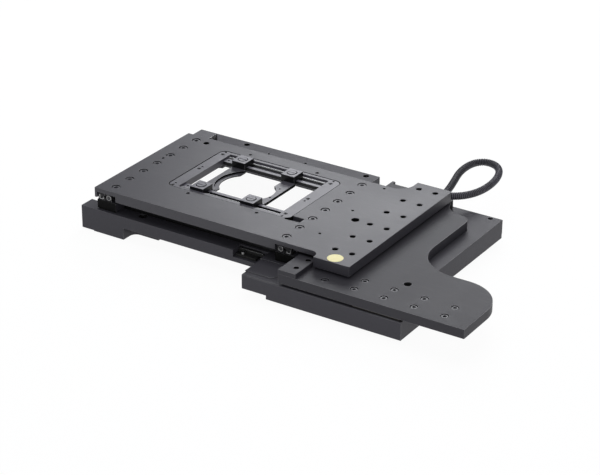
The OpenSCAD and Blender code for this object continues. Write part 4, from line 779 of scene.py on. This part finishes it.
def lathe(name, profile, sides):
    """A mesh turned about Z from (radius, height) pairs, first and last on the axis."""
    verts, faces = [], []
    for rad, h in profile[1:-1]:
        verts += [(rad * math.cos(a), rad * math.sin(a), h) for a in circle(sides)]
    rows = len(profile) - 2
    for i in range(rows - 1):
        for k in range(sides):
            a, b = i * sides + k, i * sides + (k + 1) % sides
            faces.append((a, b, b + sides, a + sides))
    verts += [(0, 0, profile[0][1]), (0, 0, profile[-1][1])]
    first, last = len(verts) - 2, len(verts) - 1
    for k in range(sides):
        n = (k + 1) % sides
        faces.append((first, n, k))
        faces.append((last, (rows - 1) * sides + k, (rows - 1) * sides + n))
    mesh = bpy.data.meshes.new(name)
    mesh.from_pydata([Vector(v) * MM for v in verts], [], faces)
    face_outwards(mesh)
    return mesh


def add_sticker():
    """A blank round yellow sticker on the tab, its rim pressed down."""
    mesh = lathe("blank_sticker", STICKER_PROFILE, STICKER_SIDES)
    mesh.transform(Matrix.Translation(at(*STICKER_PLACE)))
    smooth(mesh, STICKER_SMOOTH)
    new_object("blank_sticker", mesh, "top", "sticker")


def add_rail_end(name, x):
    """The collar screw in a Y rail's front end: a turned head with a dished socket."""
    mesh = lathe(name, COLLAR_PROFILE, COLLAR_SIDES)
    centre = at(x, COLLAR_Y, COLLAR_Z)
    mesh.transform(Matrix.Translation(centre) @ Matrix.Rotation(math.radians(90), 4, "X"))
    for f in mesh.polygons:
        if math.hypot(f.center.x - centre.x, f.center.z - centre.z) > COLLAR_RIM * MM:
            f.material_index = EDGE
    smooth(mesh, COLLAR_SMOOTH)
    new_object(name, mesh, "top", "collar")


def add_clip(name, x, flip):
    """A bent spring wire over a Y rail's front end, flipped where flip is -1."""
    wire = [at(x + flip * a, CLIP_Y, CLIP_Z + b) for a, b in CLIP_PATH]
    route, _ = resample(wire, CLIP_RING)
    out = Vector((0, 1, 0))
    bm = bmesh.new()
    rows = []
    for i, p in enumerate(route):
        w = tangent(route, i).cross(out).normalized()
        rows.append([bm.verts.new(p + WIRE_R * (math.cos(a) * w + math.sin(a) * out))
                     for a in circle(WIRE_SIDES)])
    for lo, hi in zip(rows, rows[1:]):
        for k in range(WIRE_SIDES):
            n = (k + 1) % WIRE_SIDES
            bm.faces.new((lo[k], lo[n], hi[n], hi[k]))
    bm.faces.new(rows[0])
    bm.faces.new(rows[-1])
    bmesh.ops.recalc_face_normals(bm, faces=bm.faces)
    mesh = bpy.data.meshes.new(name)
    bm.to_mesh(mesh)
    bm.free()
    smooth(mesh, CLIP_SMOOTH)
    new_object(name, mesh, "carriage", "bright_steel")


add_sticker()
add_rail_end("rail_collar_left", -122.2)
add_rail_end("rail_collar_right", 101.9)
add_clip("rail_clip_left", -132.0, 1)
add_clip("rail_clip_right", 111.6, -1)


# The studio: a pale floor that looks white, a dim world for the light and a white one to see.
FLOOR_HALF = 6.0
FLOOR_DROP = 0.2 * MM
FLOOR_COLOR = (0.86, 0.86, 0.87, 1.0)
FLOOR_GLOW = 1.03
GLOW_SHARE = 0.92
WHITE = (1.0, 1.0, 1.0, 1.0)
WORLD_COLOR = (0.93, 0.96, 1.0, 1.0)
WORLD_STRENGTH = 0.34


def seen_by(nt, *rays):
    """1 for a ray of any of the named kinds, otherwise 0."""
    path = nt.nodes.new("ShaderNodeLightPath")
    out = path.outputs[rays[0]]
    for ray in rays[1:]:
        n = nt.nodes.new("ShaderNodeMath")
        n.operation = "MAXIMUM"
        nt.links.new(out, n.inputs[0])
        nt.links.new(path.outputs[ray], n.inputs[1])
        out = n.outputs[0]
    return out


def add_floor():
    mesh = bpy.data.meshes.new("floor")
    s = FLOOR_HALF
    mesh.from_pydata([(-s, -s, 0), (s, -s, 0), (s, s, 0), (-s, s, 0)], [], [(0, 1, 2, 3)])
    floor = bpy.data.objects.new("floor", mesh)
    floor.location.z = -FLOOR_DROP
    bpy.context.scene.collection.objects.link(floor)
    mat = bpy.data.materials.new("studio_floor")
    mat.use_nodes = True
    nt = mat.node_tree
    nt.nodes.clear()
    out = nt.nodes.new("ShaderNodeOutputMaterial")
    mix = nt.nodes.new("ShaderNodeMixShader")
    paper = nt.nodes.new("ShaderNodeBsdfDiffuse")
    paper.inputs["Color"].default_value = FLOOR_COLOR
    glow = nt.nodes.new("ShaderNodeEmission")
    glow.inputs["Color"].default_value = WHITE
    glow.inputs["Strength"].default_value = FLOOR_GLOW
    share = nt.nodes.new("ShaderNodeMath")
    share.operation = "MULTIPLY"
    share.inputs[1].default_value = GLOW_SHARE
    seen = seen_by(nt, "Is Camera Ray", "Is Glossy Ray", "Is Transmission Ray")
    nt.links.new(seen, share.inputs[0])
    nt.links.new(share.outputs[0], mix.inputs[0])
    nt.links.new(paper.outputs[0], mix.inputs[1])
    nt.links.new(glow.outputs[0], mix.inputs[2])
    nt.links.new(mix.outputs[0], out.inputs["Surface"])
    mesh.materials.append(mat)


def add_world():
    world = bpy.data.worlds.new("studio")
    bpy.context.scene.world = world
    world.use_nodes = True
    nt = world.node_tree
    nt.nodes.clear()
    out = nt.nodes.new("ShaderNodeOutputWorld")
    mix = nt.nodes.new("ShaderNodeMixShader")
    fill = nt.nodes.new("ShaderNodeBackground")
    fill.inputs["Color"].default_value = WORLD_COLOR
    fill.inputs["Strength"].default_value = WORLD_STRENGTH
    white = nt.nodes.new("ShaderNodeBackground")
    white.inputs["Color"].default_value = WHITE
    white.inputs["Strength"].default_value = 1.0
    nt.links.new(seen_by(nt, "Is Camera Ray", "Is Transmission Ray"), mix.inputs[0])
    nt.links.new(fill.outputs[0], mix.inputs[1])
    nt.links.new(white.outputs[0], mix.inputs[2])
    nt.links.new(mix.outputs[0], out.inputs["Surface"])


def add_lamp(name, place, target, size, watts, color=(1.0, 1.0, 1.0)):
    """A rectangular soft light at a place in metres, turned to its target."""
    data = bpy.data.lights.new(name, "AREA")
    data.shape = "RECTANGLE"
    data.size, data.size_y = size
    data.energy = watts
    data.color = color
    lamp = bpy.data.objects.new(name, data)
    lamp.location = place
    aim = Vector(target) - Vector(place)
    lamp.rotation_euler = aim.to_track_quat("-Z", "Y").to_euler()
    bpy.context.scene.collection.objects.link(lamp)


add_floor()
add_world()
add_lamp("overhead", place=(-0.1, 0.2, 1.6), target=(0.0, 0.0, 0.0), size=(1.6, 1.2), watts=9.0)
add_lamp("behind", place=(-0.54, 1.3, 0.85), target=(0.05, 0.0, 0.05), size=(0.9, 0.7),
         watts=8.5, color=(0.96, 0.97, 1.0))
add_lamp("front_fill", place=(0.9, -1.5, 0.7), target=(0.0, 0.0, 0.03), size=(1.4, 0.9),
         watts=5.5)

scene = bpy.context.scene
scene.view_settings.view_transform = "Standard"
